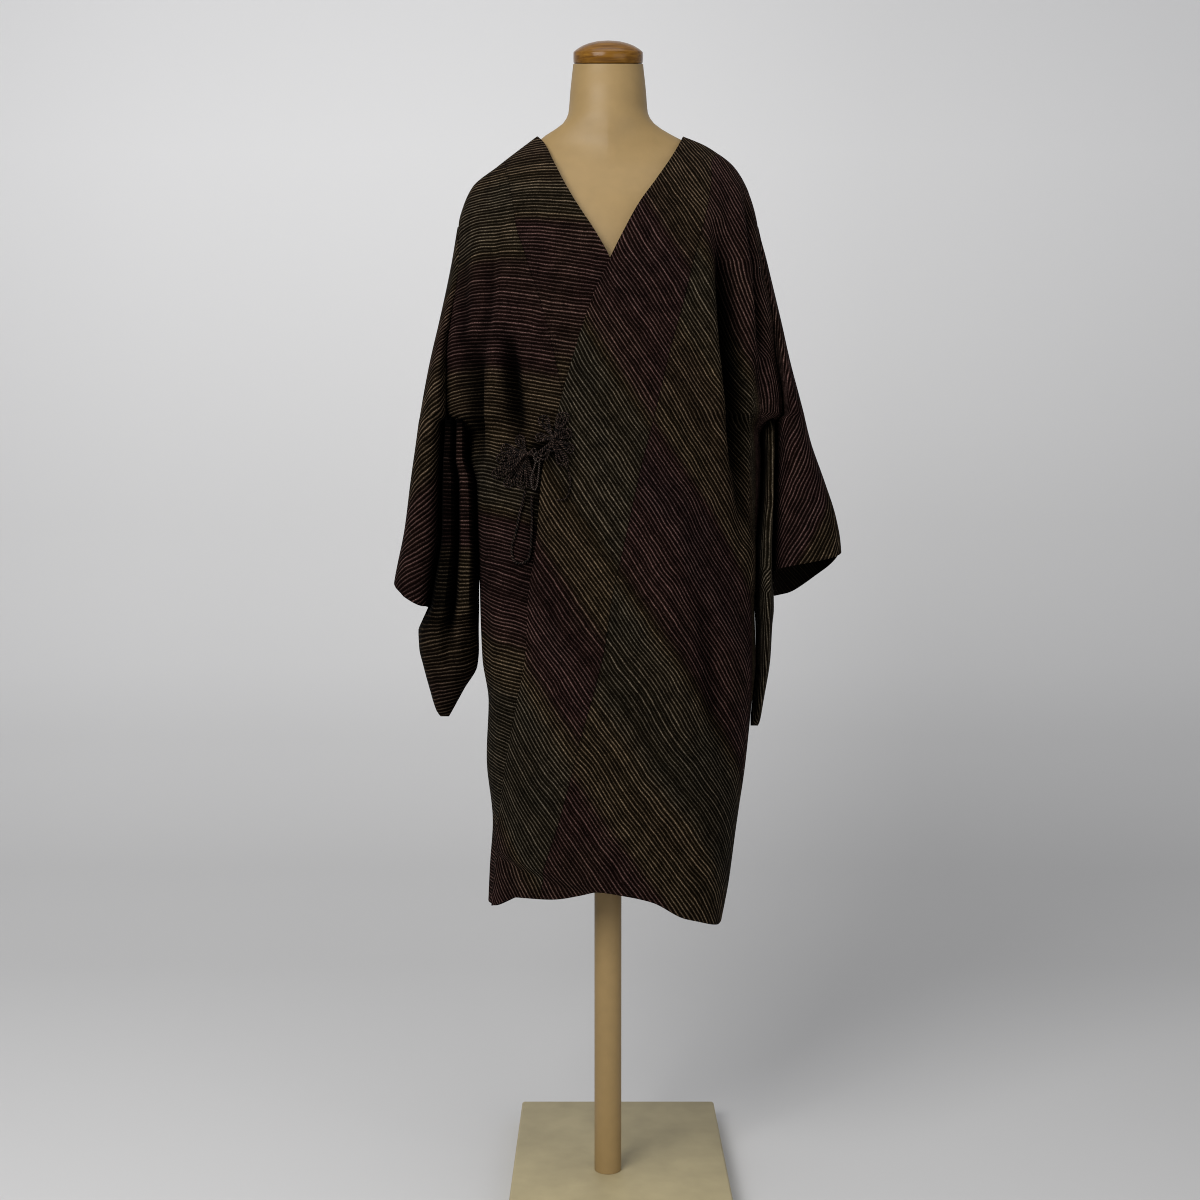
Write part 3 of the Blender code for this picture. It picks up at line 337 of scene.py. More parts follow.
# Stripes: x and z, the lines' fall to the viewer's right in degrees, and their pitch. Those of the fronts
# are read off what shows of them. Those of the back and of hidden places are guessed.
LINES = {
    "over": [
        (0.098, 1.283, 50, 0.0080), (0.120, 1.300, 60, 0.0084), (0.062, 1.223, 57, 0.0082),
        (0.152, 1.259, 63, 0.0090), (0.164, 1.187, 74, 0.0088), (0.038, 1.139, 58, 0.0083),
        (0.014, 1.043, 56, 0.0086), (0.098, 1.043, 58, 0.0086), (0.165, 1.050, 66, 0.0086),
        (-0.010, 0.959, 54, 0.0086), (0.086, 0.971, 59, 0.0086), (0.155, 0.900, 61, 0.0088),
        (-0.022, 0.875, 54, 0.0084), (0.098, 0.875, 59, 0.0090), (-0.046, 0.755, 54, 0.0086),
        (0.086, 0.779, 60, 0.0090), (0.140, 0.750, 60, 0.0090), (-0.070, 0.635, 53, 0.0088),
        (0.050, 0.659, 55, 0.0092), (0.098, 0.683, 57, 0.0092), (-0.094, 0.515, 54, 0.0086),
        (0.038, 0.563, 56, 0.0092), (0.086, 0.491, 60, 0.0092), (-0.010, 0.479, 54, 0.0090),
        (0.130, 0.480, 62, 0.0092),
    ],
    "under": [
        (-0.070, 1.247, 0, 0.0083), (-0.100, 1.300, 1, 0.0083), (-0.150, 1.270, 0, 0.0085),
        (-0.058, 1.175, 6, 0.0086), (-0.058, 1.103, 7, 0.0088), (-0.100, 1.139, 8, 0.0088),
        (-0.142, 1.223, -1, 0.0086), (-0.142, 1.139, -2, 0.0087), (-0.142, 1.043, 3, 0.0087),
        (-0.100, 1.040, 13, 0.0088), (-0.110, 0.960, 15, 0.0088), (-0.150, 0.930, 12, 0.0089),
        (-0.124, 0.839, 19, 0.0090), (-0.124, 0.755, 24, 0.0087), (-0.118, 0.659, 20, 0.0085),
        (-0.130, 0.550, 15, 0.0085), (0.000, 1.100, 10, 0.0088), (0.000, 0.800, 22, 0.0088),
        (0.000, 0.550, 15, 0.0086),
    ],
    "back_left": [
        (0.040, 1.250, 30, 0.0088), (0.150, 1.200, 34, 0.0088), (0.040, 0.800, 38, 0.0088),
        (0.150, 0.800, 40, 0.0088), (0.080, 1.000, 36, 0.0088), (0.040, 0.450, 42, 0.0088),
        (0.140, 0.450, 44, 0.0088),
    ],
    "back_right": [
        (-0.040, 1.250, 0, 0.0088), (-0.150, 1.200, 2, 0.0088), (-0.040, 0.800, 4, 0.0088),
        (-0.150, 0.800, 2, 0.0088), (-0.080, 1.000, 3, 0.0088), (-0.040, 0.450, 6, 0.0088),
        (-0.140, 0.450, 4, 0.0088),
    ],
}

# The smooth curve through them: its scale, middle, degree and powers, and the weights once fitted
LINE_SCALE = 0.3
LINE_CENTRE = 0.85
LINE_DEGREE = 3
POWERS = [(i, j) for i in range(LINE_DEGREE + 1) for j in range(LINE_DEGREE + 1 - i) if i + j]
FITS = {}

# The band's stripes: their shift from the panel's, in stripes, and their pitch behind the neck
BAND_OFFSET = 0.45
BACK_BAND_PITCH = 0.0088

# Below the kink the stripes of the left flap hang straight down
FLAP_KINK = 1.075
FLAP_RANGE = (0.176, 0.190)

# The band's free edge rolls, so its stripes start a little steeper there
ROLL = 0.25
ROLL_REACH = 0.009

# Shadow that gathers in deep places. SHADOW_DEPTH is the fold's depth that halves the light.
SHADOW_DEPTH = 0.006
GROOVE_SHADOW = {"left": 0.014, "right": 0.030}
GROOVE_DARK = 0.9
SHELF_SHADOW = (-0.006, 0.030)
PIT_LIGHT = 0.02
PIT_FADE = 3
EDGE_SHADOW = 0.019
EDGE_DARK = 0.94
KNOT_DARK = 0.85
EDGE_DARK_LOW = (0.740, 0.860)
EDGE_DARK_HIGH = (0.955, 0.990)
KNOT_SHADOWS = [("over", -0.0640, 0.9680, 0.0150, 0.0260), ("under", -0.1020, 0.9440, 0.0190, 0.0190),
                ("under", -0.0850, 0.9560, 0.0150, 0.0200)]
POUCH_LIGHT = {"left": 1.0, "right": 0.70}
STRIP_LIGHT = {"left": [1.3, 1.3], "right": [0.80, 0.18]}

# Dye zones down each piece: 0 green olive, 1 olive gold, 2 brown, 3 burgundy, 4 purple. Those of the back
# are guessed.
UNDER_DYES = [
    (1.34, 1.6), (1.30, 1.3), (1.068, 2.8), (1.048, 1.3), (0.985, 1.2), (0.955, 0.9), (0.938, 0.3),
    (0.885, 0.3), (0.865, 2.9), (0.80, 3.2), (0.72, 2.9), (0.70, 1.1), (0.66, 1.0), (0.64, 0.4),
    (0.48, 0.2), (0.45, 2.4), (0.40, 3.0),
]
DYES = {
    "band_over": table("z dye", [
        (1.34, 1.8), (1.26, 1.6), (1.232, 2.0), (1.210, 3.4), (1.14, 3.0), (1.06, 2.9), (1.038, 0.5),
        (0.97, 0.2), (0.90, 0.3), (0.878, 1.0), (0.815, 1.2), (0.79, 2.8), (0.72, 3.2), (0.668, 2.8),
        (0.645, 1.0), (0.615, 0.3), (0.48, 0.2), (0.45, 2.4), (0.40, 3.0),
    ]),
    "panel_over": table("z dye", [
        (1.34, 2.6), (1.25, 3.0), (1.15, 2.9), (1.125, 1.6), (1.100, 0.4), (1.030, 0.5), (1.000, 1.4),
        (0.960, 1.6), (0.905, 1.3), (0.880, 3.3), (0.83, 3.6), (0.77, 3.0), (0.69, 2.9), (0.665, 0.6),
        (0.64, 0.2), (0.55, 0.3), (0.52, 1.0), (0.455, 1.1), (0.435, 2.8), (0.38, 3.0),
    ]),
    "band_under": table("z dye", UNDER_DYES + [(1.278, 0.6), (1.246, 0.6), (1.232, 2.8), (1.15, 3.0)]),
    "panel_under": table("z dye", UNDER_DYES + [(1.278, 0.5), (1.205, 0.4), (1.185, 2.6), (1.12, 3.2)]),
    "back": table("z dye", [
        (1.34, 1.0), (1.28, 3.2), (1.20, 3.4), (1.15, 1.0), (1.06, 0.4), (1.02, 1.4), (0.96, 3.3),
        (0.86, 3.0), (0.81, 0.8), (0.70, 0.3), (0.65, 1.2), (0.60, 3.4), (0.52, 3.5), (0.46, 1.0),
        (0.38, 0.6),
    ]),
    "sleeve_left": table("z dye", [
        (1.25, 3.0), (1.15, 2.9), (1.05, 3.2), (0.95, 3.0), (0.865, 3.3), (0.838, 1.3), (0.80, 0.9),
    ]),
    "sleeve_right": table("z dye", [
        (1.25, 0.4), (1.17, 0.4), (1.14, 2.3), (1.08, 2.3), (1.06, 1.2), (0.94, 1.3), (0.90, 2.8),
        (0.76, 3.0),
    ]),
    "strips_left": table("z dye", [(0.60, 0.5), (0.80, 0.3), (1.00, 0.7)]),
    "strips_right": table("z dye", [
        (1.00, 2.6), (0.95, 2.8), (0.85, 2.9), (0.83, 1.0), (0.78, 0.8), (0.74, 1.5), (0.70, 1.5),
        (0.66, 2.2), (0.62, 1.3),
    ]),
}

# Sleeve stripes: rise away from the body as a slope, by height, and the lean of the sleeve's outer fold
SLOPES = {
    "left": table("z slope", [(1.25, 2.4), (1.00, 2.2), (0.78, 2.05)]),
    "right": table("z slope", [(1.25, -0.90), (1.10, -0.80), (0.95, -0.62), (0.80, -0.45)]),
}
FOLD_LEAN = {"left": 0.45, "right": -0.12}
SLEEVE_PITCH = {"left": 0.0222, "right": 0.0110}
STRIP_PITCH = {"left": 0.0100, "right": 0.0097}
POUCH_SLOPE = 0.25
POUCH_MIDDLE = 0.20


def finer(rows, step):
    """The same rows with evenly spaced ones between them."""
    rows = np.asarray(rows, dtype=float)
    parts = [rows[:1]]
    for start, end in zip(rows[:-1], rows[1:]):
        count = max(1, int(round(abs(end - start) / step)))
        parts.append(np.linspace(start, end, count + 1)[1:])
    return np.concatenate(parts)


def ring(turn, z, back):
    """Plain tube of the coat: turn is -1 at the right side, 0 at the centre, 1 at the left side."""
    width = np.where(turn < 0, read(RINGS, "right", z), read(RINGS, "left", z))
    depth = read(RINGS, "back", z) if back else -read(RINGS, "front", z)
    across, along = np.sin(turn * math.pi / 2), np.cos(turn * math.pi / 2)
    x = width * np.sign(across) * np.abs(across) ** (2 / SQUARENESS)
    y = depth * np.abs(along) ** (2 / SQUARENESS)
    nx = np.sign(x) * np.abs(x / width) ** (SQUARENESS - 1) / width
    ny = np.sign(depth) * np.abs(y / depth) ** (SQUARENESS - 1) / np.abs(depth)
    length = np.hypot(nx, ny)
    return x, y, nx / length, ny / length


def turn_at(x, z):
    """The turn at which the tube has a given x."""
    width = np.where(x < 0, read(RINGS, "right", z), read(RINGS, "left", z))
    share = np.clip(np.abs(x) / width, 0.0, 1.0) ** (SQUARENESS / 2)
    return np.sign(x) * np.arcsin(share) / (math.pi / 2)


def fold_height(layer, x, z):
    """Ridges and valleys of one layer."""
    height = SWAY * math.prod(np.sin(a * x + b * z + start) for a, b, start in WAVES)
    for top_x, top_z, low_x, low_z, spread, rise in FOLDS[layer] + CREASES[layer]:
        share = np.clip((top_z - z) / (top_z - low_z), 0.0, 1.0)
        line = top_x + (low_x - top_x) * share
        fade = np.clip(4 * share * (1 - share), 0.0, 1.0) ** FOLD_FADE
        height += rise * fade * np.exp(-((x - line) / spread) ** 2)
    return height


def layer_height(layer, turn, x, z):
    """How far a layer stands off the plain tube."""
    crossed = ramp(CROSS_HIGH, CROSS_LOW, z)
    if layer == "over":
        under_edge = read(EDGES, "under_edge", z)
        height = LAYER_LIFT * crossed * (1 - ramp(under_edge, under_edge + CROSS_REACH, x))
        stand = ramp(*STAND_LOW, z) * (1 - ramp(*STAND_HIGH, z))
        height += EDGE_STAND * stand * np.exp(-((x - read(EDGES, "over_edge", z)) / STAND_SPREAD) ** 2)
    elif layer == "under":
        over_edge = read(EDGES, "over_edge", z)
        height = -LAYER_LIFT * crossed * ramp(over_edge - CROSS_REACH, over_edge, x)
    else:
        height = np.zeros_like(x)
    if layer != "back":
        crease = read(DENT, "z", x)
        height -= read(DENT, "depth", x) * ramp(crease, crease - DENT_WIDTH, z)
    height += fold_height(layer, x, z)
    return height * (1 - ramp(SIDE_START, 1.0, np.abs(turn)))


def skin(turn, z, layer):
    """Point of the coat's outer face."""
    x, y, nx, ny = ring(turn, z, layer == "back")
    height = layer_height(layer, turn, x, z)
    return np.stack([x + nx * height, y + ny * height, z], axis=-1)


def skin_normal(turn, z, layer):
    """Outward normal, from points just beside."""
    low, high = np.clip(turn - STEP, -1, 1), np.clip(turn + STEP, -1, 1)
    across = skin(high, z, layer) - skin(low, z, layer)
    along = skin(turn, z + STEP, layer) - skin(turn, z - STEP, layer)
    normal = np.cross(across, along)
    normal /= np.linalg.norm(normal, axis=-1, keepdims=True)
    facing = np.sum(normal * skin(turn, z, layer) * np.array([1, 1, 0]), axis=-1, keepdims=True)
    return normal * np.where(facing < 0, -1.0, 1.0)


def on_front(x, z, layer, height):
    """Point at a given height over the front, placed by x."""
    x, z = np.asarray(x, dtype=float), np.asarray(z, dtype=float)
    turn = turn_at(x, z)
    return skin(turn, z, layer) + skin_normal(turn, z, layer) * np.asarray(height)[..., None]


def hem_height(x, turn, back):
    """Height of the lower edge; front and back meet at the side seams."""
    side = np.where(turn < 0, HEM["z"][0], HEM["z"][-1])
    level, reach = (HEM_BACK, HEM_TURN_BACK) if back else (read(HEM, "z", x), HEM_TURN_FRONT)
    return side + (level - side) * ramp(0.0, reach, 1 - np.abs(turn))


def row_height(row, x, turn, back):
    """Rows are level above HEM_TOP and follow the hem below it."""
    hem = hem_height(x, turn, back)
    share = (HEM_TOP - row) / (HEM_TOP - HEM_ROW)
    return np.where(row < HEM_TOP, HEM_TOP + (hem - HEM_TOP) * share, row)


def neck_rows(side):
    """Rows from the back neck seam's centre up to the shoulder."""
    top = SEAM_TOP[side]
    return [top - (top - NECK_SEAM_BACK) * math.sin(math.radians(a)) for a in finer(NECK_TURNS, NECK_STEP)]


def body_rows(side):
    """Rows of one half of the coat, from the hem up to the shoulder."""
    level = finer(SKIRT_ROWS + ARM_ROWS + [SHOULDER_ROW, NECK_SEAM_BACK], CELL)
    return np.concatenate([level, neck_rows(side)[1:]])


def neck_seam_x(side, z):
    """Half width of the back neck seam at a height, 0 below its centre."""
    top = SEAM_TOP[side]
    share = np.clip((top - z) / (top - NECK_SEAM_BACK), 0.0, 1.0)
    return float(read(RINGS, side, top)) * np.sqrt(1 - share ** 2)


# Distance round the cloth from the front's or the back's middle, by height and turn
ARC_TURNS = np.linspace(-1, 1, 401)
ARC_HEIGHTS = np.linspace(0.36, 1.3625, 260)
ARC_MARGIN = 0.001
ARCS = {}


def arc_at(turn, z, layer):
    """Distance round the cloth of one layer from its middle line."""
    if layer not in ARCS:
        turns, heights = np.meshgrid(ARC_TURNS, ARC_HEIGHTS)
        arc = distances(skin(turns, heights, layer))[0]
        ARCS[layer] = arc - arc[:, len(ARC_TURNS) // 2, None]
    rows, columns = len(ARC_HEIGHTS) - 1, len(ARC_TURNS) - 1
    share = (z - ARC_HEIGHTS[0]) / (ARC_HEIGHTS[-1] - ARC_HEIGHTS[0])
    row = np.clip(share * rows, 0, rows - ARC_MARGIN)
    column = np.clip((turn + 1) / 2 * columns, 0, columns - ARC_MARGIN)
    i, j = row.astype(int), column.astype(int)
    v, u = row - i, column - j
    arc = ARCS[layer]
    low = arc[i, j] * (1 - u) + arc[i, j + 1] * u
    high = arc[i + 1, j] * (1 - u) + arc[i + 1, j + 1] * u
    return low * (1 - v) + high * v


def fit_lines(layer, lines):
    """Weight of each power in the smooth curve that best follows the lines' directions and pitches."""
    matrix, wanted = [], []
    for x, height, angle, pitch in LINES[lines]:
        heights = np.full(3, height)
        arc = arc_at(turn_at(np.array([x - STEP, x, x + STEP]), heights), heights, layer)
        stretch = (arc[2] - arc[0]) / (2 * STEP)
        angle = math.radians(angle)
        fall = math.atan2(math.sin(angle), stretch * math.cos(angle))
        p, q = arc[1] / LINE_SCALE, (height - LINE_CENTRE) / LINE_SCALE
        matrix.append([i * p ** max(i - 1, 0) * q ** j / LINE_SCALE for i, j in POWERS])
        matrix.append([j * p ** i * q ** max(j - 1, 0) / LINE_SCALE for i, j in POWERS])
        wanted += [math.sin(fall) / pitch, math.cos(fall) / pitch]
    return np.linalg.lstsq(np.array(matrix), np.array(wanted), rcond=None)[0]


def stripe_at(turn, z, layer, lines):
    """Number of stripes counted upwards."""
    if lines not in FITS:
        FITS[lines] = fit_lines(layer, lines)
    p, q = arc_at(turn, z, layer) / LINE_SCALE, (z - LINE_CENTRE) / LINE_SCALE
    return sum(c * p ** i * q ** j for c, (i, j) in zip(FITS[lines], POWERS))


def fold_shade(layer, x, z):
    """How much light reaches the cloth in deep folds, beside the over-front's edge and round the knots."""
    valley = np.minimum(fold_height(layer, x, z), 0.0)
    shade = 1 / (1 + (valley / SHADOW_DEPTH) ** 2)
    if layer == "under":
        stand = ramp(*EDGE_DARK_LOW, z) * (1 - ramp(*EDGE_DARK_HIGH, z))
        beside = np.maximum(read(EDGES, "over_edge", z) - x, 0) / EDGE_SHADOW
        shade *= 1 - EDGE_DARK * stand * np.exp(-beside ** 2)
    for where, middle_x, middle_z, reach_x, reach_z in KNOT_SHADOWS:
        if where == layer:
            apart = ((x - middle_x) / reach_x) ** 2 + ((z - middle_z) / reach_z) ** 2
            shade = shade * (1 - KNOT_DARK * np.exp(-apart ** 2))
    return shade


def dye_by_line(stripe, z, column, dyes):
    """Dye zones that run along the stripes, read down one column of a grid."""
    keys = stripe[:, column]
    order = np.argsort(keys)
    return np.interp(stripe, keys[order], read(DYES[dyes], "dye", z[:, column])[order])


def distances(points):
    """Distances from a grid's first and last column, along its rows."""
    steps = np.linalg.norm(np.diff(points, axis=1), axis=-1)
    arc = np.concatenate([np.zeros((len(points), 1)), np.cumsum(steps, axis=1)], axis=1)
    return arc, arc[:, -1:] - arc


def climb(points):
    """Distances from a grid's first row, along its columns."""
    steps = np.linalg.norm(np.diff(points, axis=0), axis=-1)
    return np.concatenate([np.zeros((1, points.shape[1])), np.cumsum(steps, axis=0)], axis=0)


def panel(side, layer, columns):
    """Grid of one half panel, from its side edge to its seam, with its stripes and dyes."""
    sign, behind = SIGN[side], layer == "back"
    rows = body_rows(side)[:, None]
    end = sign * read(ARMHOLE, "turn", rows)
    inner = turn_at(sign * neck_seam_x(side, rows) if behind else read(EDGES, layer + "_seam", rows), rows)
    inner = np.where(sign * (end - inner) < 0, end, inner)
    turn = end + (inner - end) * np.linspace(0, 1, columns + 1)
    level = rows + 0 * turn
    x = ring(turn, level, behind)[0]
    z = row_height(level, x, turn, behind)
    hang = ramp(*FLAP_RANGE, x) if layer == "over" else 0.0
    lines = "back_" + side if behind else layer
    stripe = stripe_at(turn, z + (np.maximum(z, FLAP_KINK) - z) * hang, layer, lines)
    dye = dye_by_line(stripe, z, columns * 2 // 3, "back" if behind else "panel_" + layer)
    points = skin(turn, z, layer)
    return {"points": points, "stripe": stripe, "dye": dye, "along": z,
            "edge": np.minimum(distances(points)[1], climb(points)), "shade": fold_shade(layer, x, z)}


def band_front(side, layer, columns):
    """Collar band over one front, from the hem to the shoulder; columns run from edge to seam."""
    rows = body_rows(side)[:, None]
    rise = (EDGE_TOP - SEAM_TOP[side]) * np.clip(
        (rows - RISE_START) / (SEAM_TOP[side] - RISE_START), 0, 1)
    edge_turn = turn_at(read(EDGES, layer + "_edge", rows + rise), rows + rise)
    seam_turn = turn_at(read(EDGES, layer + "_seam", rows), rows)
    share = np.linspace(0, 1, columns + 1)
    turn = edge_turn + (seam_turn - edge_turn) * share
    level = rows + rise * (1 - share)
    x = ring(turn, level, False)[0]
    z = row_height(level, x, turn, False)
    points = skin(turn, z, layer)
    stripe = stripe_at(turn, z, layer, layer) + BAND_OFFSET
    if layer == "over":
        stripe -= ROLL * np.exp(-distances(points)[0] / ROLL_REACH)
    dye = dye_by_line(stripe, z, columns // 2, "band_" + layer)
    return points, stripe, dye, fold_shade(layer, x, z)


def band_back(columns):
    """Collar band round the back of the neck, from the left shoulder to the right one."""
    turns = list(finer(NECK_TURNS, NECK_STEP))
    edge, seam = [], []
    for angle in np.radians(turns[-2::-1] + [180 - a for a in turns[1:-1]]):
        side = "left" if math.cos(angle) >= 0 else "right"
        sweep = math.sin(angle)
        z = np.array(SEAM_TOP[side] - (SEAM_TOP[side] - NECK_SEAM_BACK) * sweep)
        seam.append(skin(turn_at(SIGN[side] * neck_seam_x(side, z), z), z, "back"))
        edge_x = float(read(RINGS, side, EDGE_TOP)) * math.cos(angle)
        edge_z = EDGE_TOP - (EDGE_TOP - NECK_EDGE_BACK) * sweep
        edge.append([edge_x, NECK_EDGE_DEPTH * sweep, edge_z])
    edge, seam = np.array(edge)[:, None, :], np.array(seam)[:, None, :]
    return edge + (seam - edge) * np.linspace(0, 1, columns + 1)[None, :, None]


def collar(columns):
    """The whole band, hem to hem, with stripes that run on round the neck."""
    left, left_stripe, left_dye, left_shade = band_front("left", "over", columns)
    right, right_stripe, right_dye, right_shade = band_front("right", "under", columns)
    back = band_back(columns)
    points = np.concatenate([left, back, right[::-1]])
    first, last = len(left), len(left) + len(back)
    run = climb(points[:, columns // 2][:, None])[:, 0]
    share = ((run[first:last] - run[first - 1]) / (run[last] - run[first - 1]))[:, None]
    count = round((run[last] - run[first - 1]) / BACK_BAND_PITCH)
    start = left_stripe[-1]
    shift = np.round(np.mean(start - right_stripe[-1])) + count
    end = right_stripe[-1] + shift
    back_stripe = start * (1 - share) + end * share
    back_dye = left_dye[-1] * (1 - share) + right_dye[-1] * share
    return {"points": points, "along": climb(points), "edge": distances(points)[1],
            "shade": np.concatenate([left_shade, np.ones(back.shape[:2]), right_shade[::-1]]),
            "stripe": np.concatenate([left_stripe, back_stripe, right_stripe[::-1] + shift]),
            "dye": np.concatenate([left_dye, back_dye, right_dye[::-1]])}


def shelf_height(side, x, y):
    """Height of the body's underside where it steps out to the armhole."""
    across = 1 - (np.abs(y) / float(read(RINGS, "front", SHELF_HIGH))) ** SQUARENESS
    step = (RINGS["z"] >= SHELF_LOW) & (RINGS["z"] <= SHELF_HIGH)
    return np.interp(x / across ** (1 / SQUARENESS), RINGS[side][step], RINGS["z"][step])


def strip_columns(side):
    """Place and rise of each column across a sleeve's strips. The last two bound the groove's floor."""
    strips = STRIPS[side]
    across = np.linspace(0, strips, strips * STRIP_CELLS + 1)
    rise = read(STRIP_SHAPE, "rise", across - np.floor(across))
    rise[-1] = 0
    return np.append(across, strips) / strips, np.append(rise, 0)


def sleeve_strips(side, rows, face):
    """Inner part of a sleeve below the armhole, from the free edge to the floor of the groove."""
    across, rise = strip_columns(side)
    z = np.array(rows)[:, None]
    body = read(RINGS, side, np.minimum(z, SHELF_LOW))
    inner = np.maximum(read(POUCHES[side], "inner", z), body + STRIP_CLEAR)
    outer = read(SLEEVES[side], "groove", z)
    x = inner + (outer - GROOVE_FLOOR - inner) * across
    x[:, -1:] = outer
    edge = FURI_HALF * ramp(*SEAM_OPENS, z)
    floor = edge + (read(SLEEVES[side], "pit", z) - edge) * across
    y = (floor + (STRIP_DEPTH - floor) * rise) * (1.0 if face < 0 else BACK_SHARE)
    shelf = shelf_height(side, x, y) - SHELF_GAP
    level = np.minimum(z, shelf)
    level[0] += (1 - rise ** LIFT_POWER) * np.clip(shelf[0] - level[0], 0, STRIP_LIFT)
    level[:, -1:] = z
    return np.stack([SIGN[side] * x, face * y, level], axis=-1)


def sleeve_pouch(side, rows, face):
    """Closed pouch below the mouth, joined to its other face along both limits and at the tip."""
    z = np.array(rows)[:, None]
    share = strip_columns(side)[0] * POUCH_SHARE
    share[-1] = 1.0
    inner, outer = read(POUCHES[side], "inner", z), read(POUCHES[side], "outer", z)
    depth = read(POUCHES[side], "depth", z)
    bulge = np.sin(math.pi * share) ** POUCH_BLUNT
    valley = np.exp(-((share - POUCH_SHARE / 2) / VALLEY_WIDTH) ** 2) * ramp(*VALLEY_RISE, z)
    x = inner + (outer - inner) * share
    y = face * depth * bulge * (1 - POUCH_DIP * valley * (STRIPS[side] - 1))
    return np.stack([SIGN[side] * x, y, z + 0 * x], axis=-1)


def sleeve_outer(side, rows, face):
    """Outer panel of a sleeve, from the armhole or the groove to the outer fold."""
    layer = "back" if face > 0 else ("over" if side == "left" else "under")
    share = np.linspace(0, 1, OUTER_CELLS + 1)
    level = np.array(rows)[:, None]
    mouth = read(MOUTHS[side], "back" if face > 0 else "front", share)
    drop = (CUFF_START - level) / (CUFF_START - rows[-1])
    z = np.where(level < CUFF_START, CUFF_START + (mouth - CUFF_START) * drop, level + 0 * share)
    edge = skin(SIGN[side] * read(ARMHOLE, "turn", z), z, layer)
    attached = ramp(FURI_TOP, SHELF_HIGH, z)
    start_x = read(SLEEVES[side], "groove", z)
    start_x = start_x + (np.abs(edge[..., 0]) + SEAM_GAP - start_x) * attached
    pit = read(SLEEVES[side], "pit", z) * (1.0 if face < 0 else BACK_SHARE)
    start_y = pit + (np.abs(edge[..., 1]) - pit) * attached
    outer, crest = read(SLEEVES[side], "outer", z), read(SLEEVES[side], "crest", z)
    loose = (1 - np.cos(math.pi * share)) / 2
    tight = np.sin(math.pi * share / 2)
    lean = ramp(LOOSE_HIGH, LOOSE_LOW, z)
    x = start_x + (outer - start_x) * (loose * lean + tight * (1 - lean))
    swell = np.maximum(crest - start_y / 2, 0) * np.sin(math.pi * share) ** CREST_BLUNT
    y = start_y * np.cos(math.pi * share / 2) ** START_FADE + swell * lean
    return np.stack([SIGN[side] * x, face * y, z], axis=-1)


def outer_patch(side, points, face):
    """A sleeve's outer panel with its stripes, dyes, distance from the cuff's edge and light."""
    from_start, from_end = distances(points)
    z = points[..., 2]
    run = -face * read(SLOPES[side], "slope", z) * from_end
    stripe = (z * (1 + FOLD_LEAN[side]) + run) / SLEEVE_PITCH[side]
    dye = dye_by_line(stripe, z, OUTER_CELLS // 2, "sleeve_" + side)
    below = 1 - ramp(FURI_TOP, LOOSE_LOW, z)
    shade = 1 - GROOVE_DARK * below * np.exp(-(from_start / GROOVE_SHADOW[side]) ** 2)
    return {"points": points, "stripe": stripe, "dye": dye, "shade": shade,
            "edge": climb(points[::-1])[::-1], "along": z}


def inner_patch(side, points, mouth):
    """The same for its strips and the pouch below them. Painted shade darkens the strips' grooves."""
    from_start = distances(points)[0]
    z = points[..., 2]
    below = ramp(mouth, mouth - 2 * POUCH_DROP, z)
    stripe = from_start / STRIP_PITCH[side]
    if side == "right":
        tilt = POUCH_SLOPE * below * (np.abs(points[..., 0]) - POUCH_MIDDLE)
        stripe = (z + tilt) / STRIP_PITCH[side]
    place, rise = strip_columns(side)
    lit = np.where(place * STRIPS[side] > 1, STRIP_LIGHT[side][1], STRIP_LIGHT[side][0])
    shade = (PIT_LIGHT + (1 - PIT_LIGHT) * rise ** PIT_FADE) * lit * ramp(*SHELF_SHADOW, FURI_TOP - z)
    return {"points": points, "stripe": stripe, "dye": read(DYES["strips_" + side], "dye", z),
            "edge": from_start, "shade": shade + (POUCH_LIGHT[side] - shade) * below, "along": z}


def sleeve(side):
    """All grids of one sleeve. Points that meet are welded."""
    mouth = float(MOUTHS[side]["front"][0])
    outer_rows = finer([row for row in SLEEVE_ROWS if row > mouth] + [mouth], CELL)
    strip_rows = outer_rows[outer_rows <= FURI_TOP + TINY]
    tip = float(POUCHES[side]["z"][0])
    pouch_rows = finer([mouth - POUCH_DROP, tip + 3 * POUCH_TIP, tip + POUCH_TIP, tip], CELL)
    patches = []
    for face in (-1, 1):
        strips = sleeve_strips(side, strip_rows, face)
        outer = sleeve_outer(side, outer_rows, face)
        strips[:, -1] = outer[len(outer_rows) - len(strip_rows):, 0]
        lower = np.concatenate([strips, sleeve_pouch(side, pouch_rows, face)])
        patches += [inner_patch(side, lower, mouth), outer_patch(side, outer, face)]
    return patches


# What the cloth's material reads at each corner, and how much of the inner face's painted shade the rim
# gets
ATTRIBUTES = ("stripe", "dye", "edge", "shade", "along")
RIM_SHADE = 0.3


def grid_quads(shape):
    """Corner numbers of a grid's quads."""
    numbers = np.arange(shape[0] * shape[1]).reshape(shape)
    corners = [numbers[:-1, :-1], numbers[:-1, 1:], numbers[1:, 1:], numbers[1:, :-1]]
    return np.stack([corner.ravel() for corner in corners], axis=1)


def crossing(points, quads):
    """Cross product of each quad's diagonals, which stands square on it."""
    a, b, c, d = (points[quads[:, i]] for i in range(4))
    return np.cross(c - a, d - b)


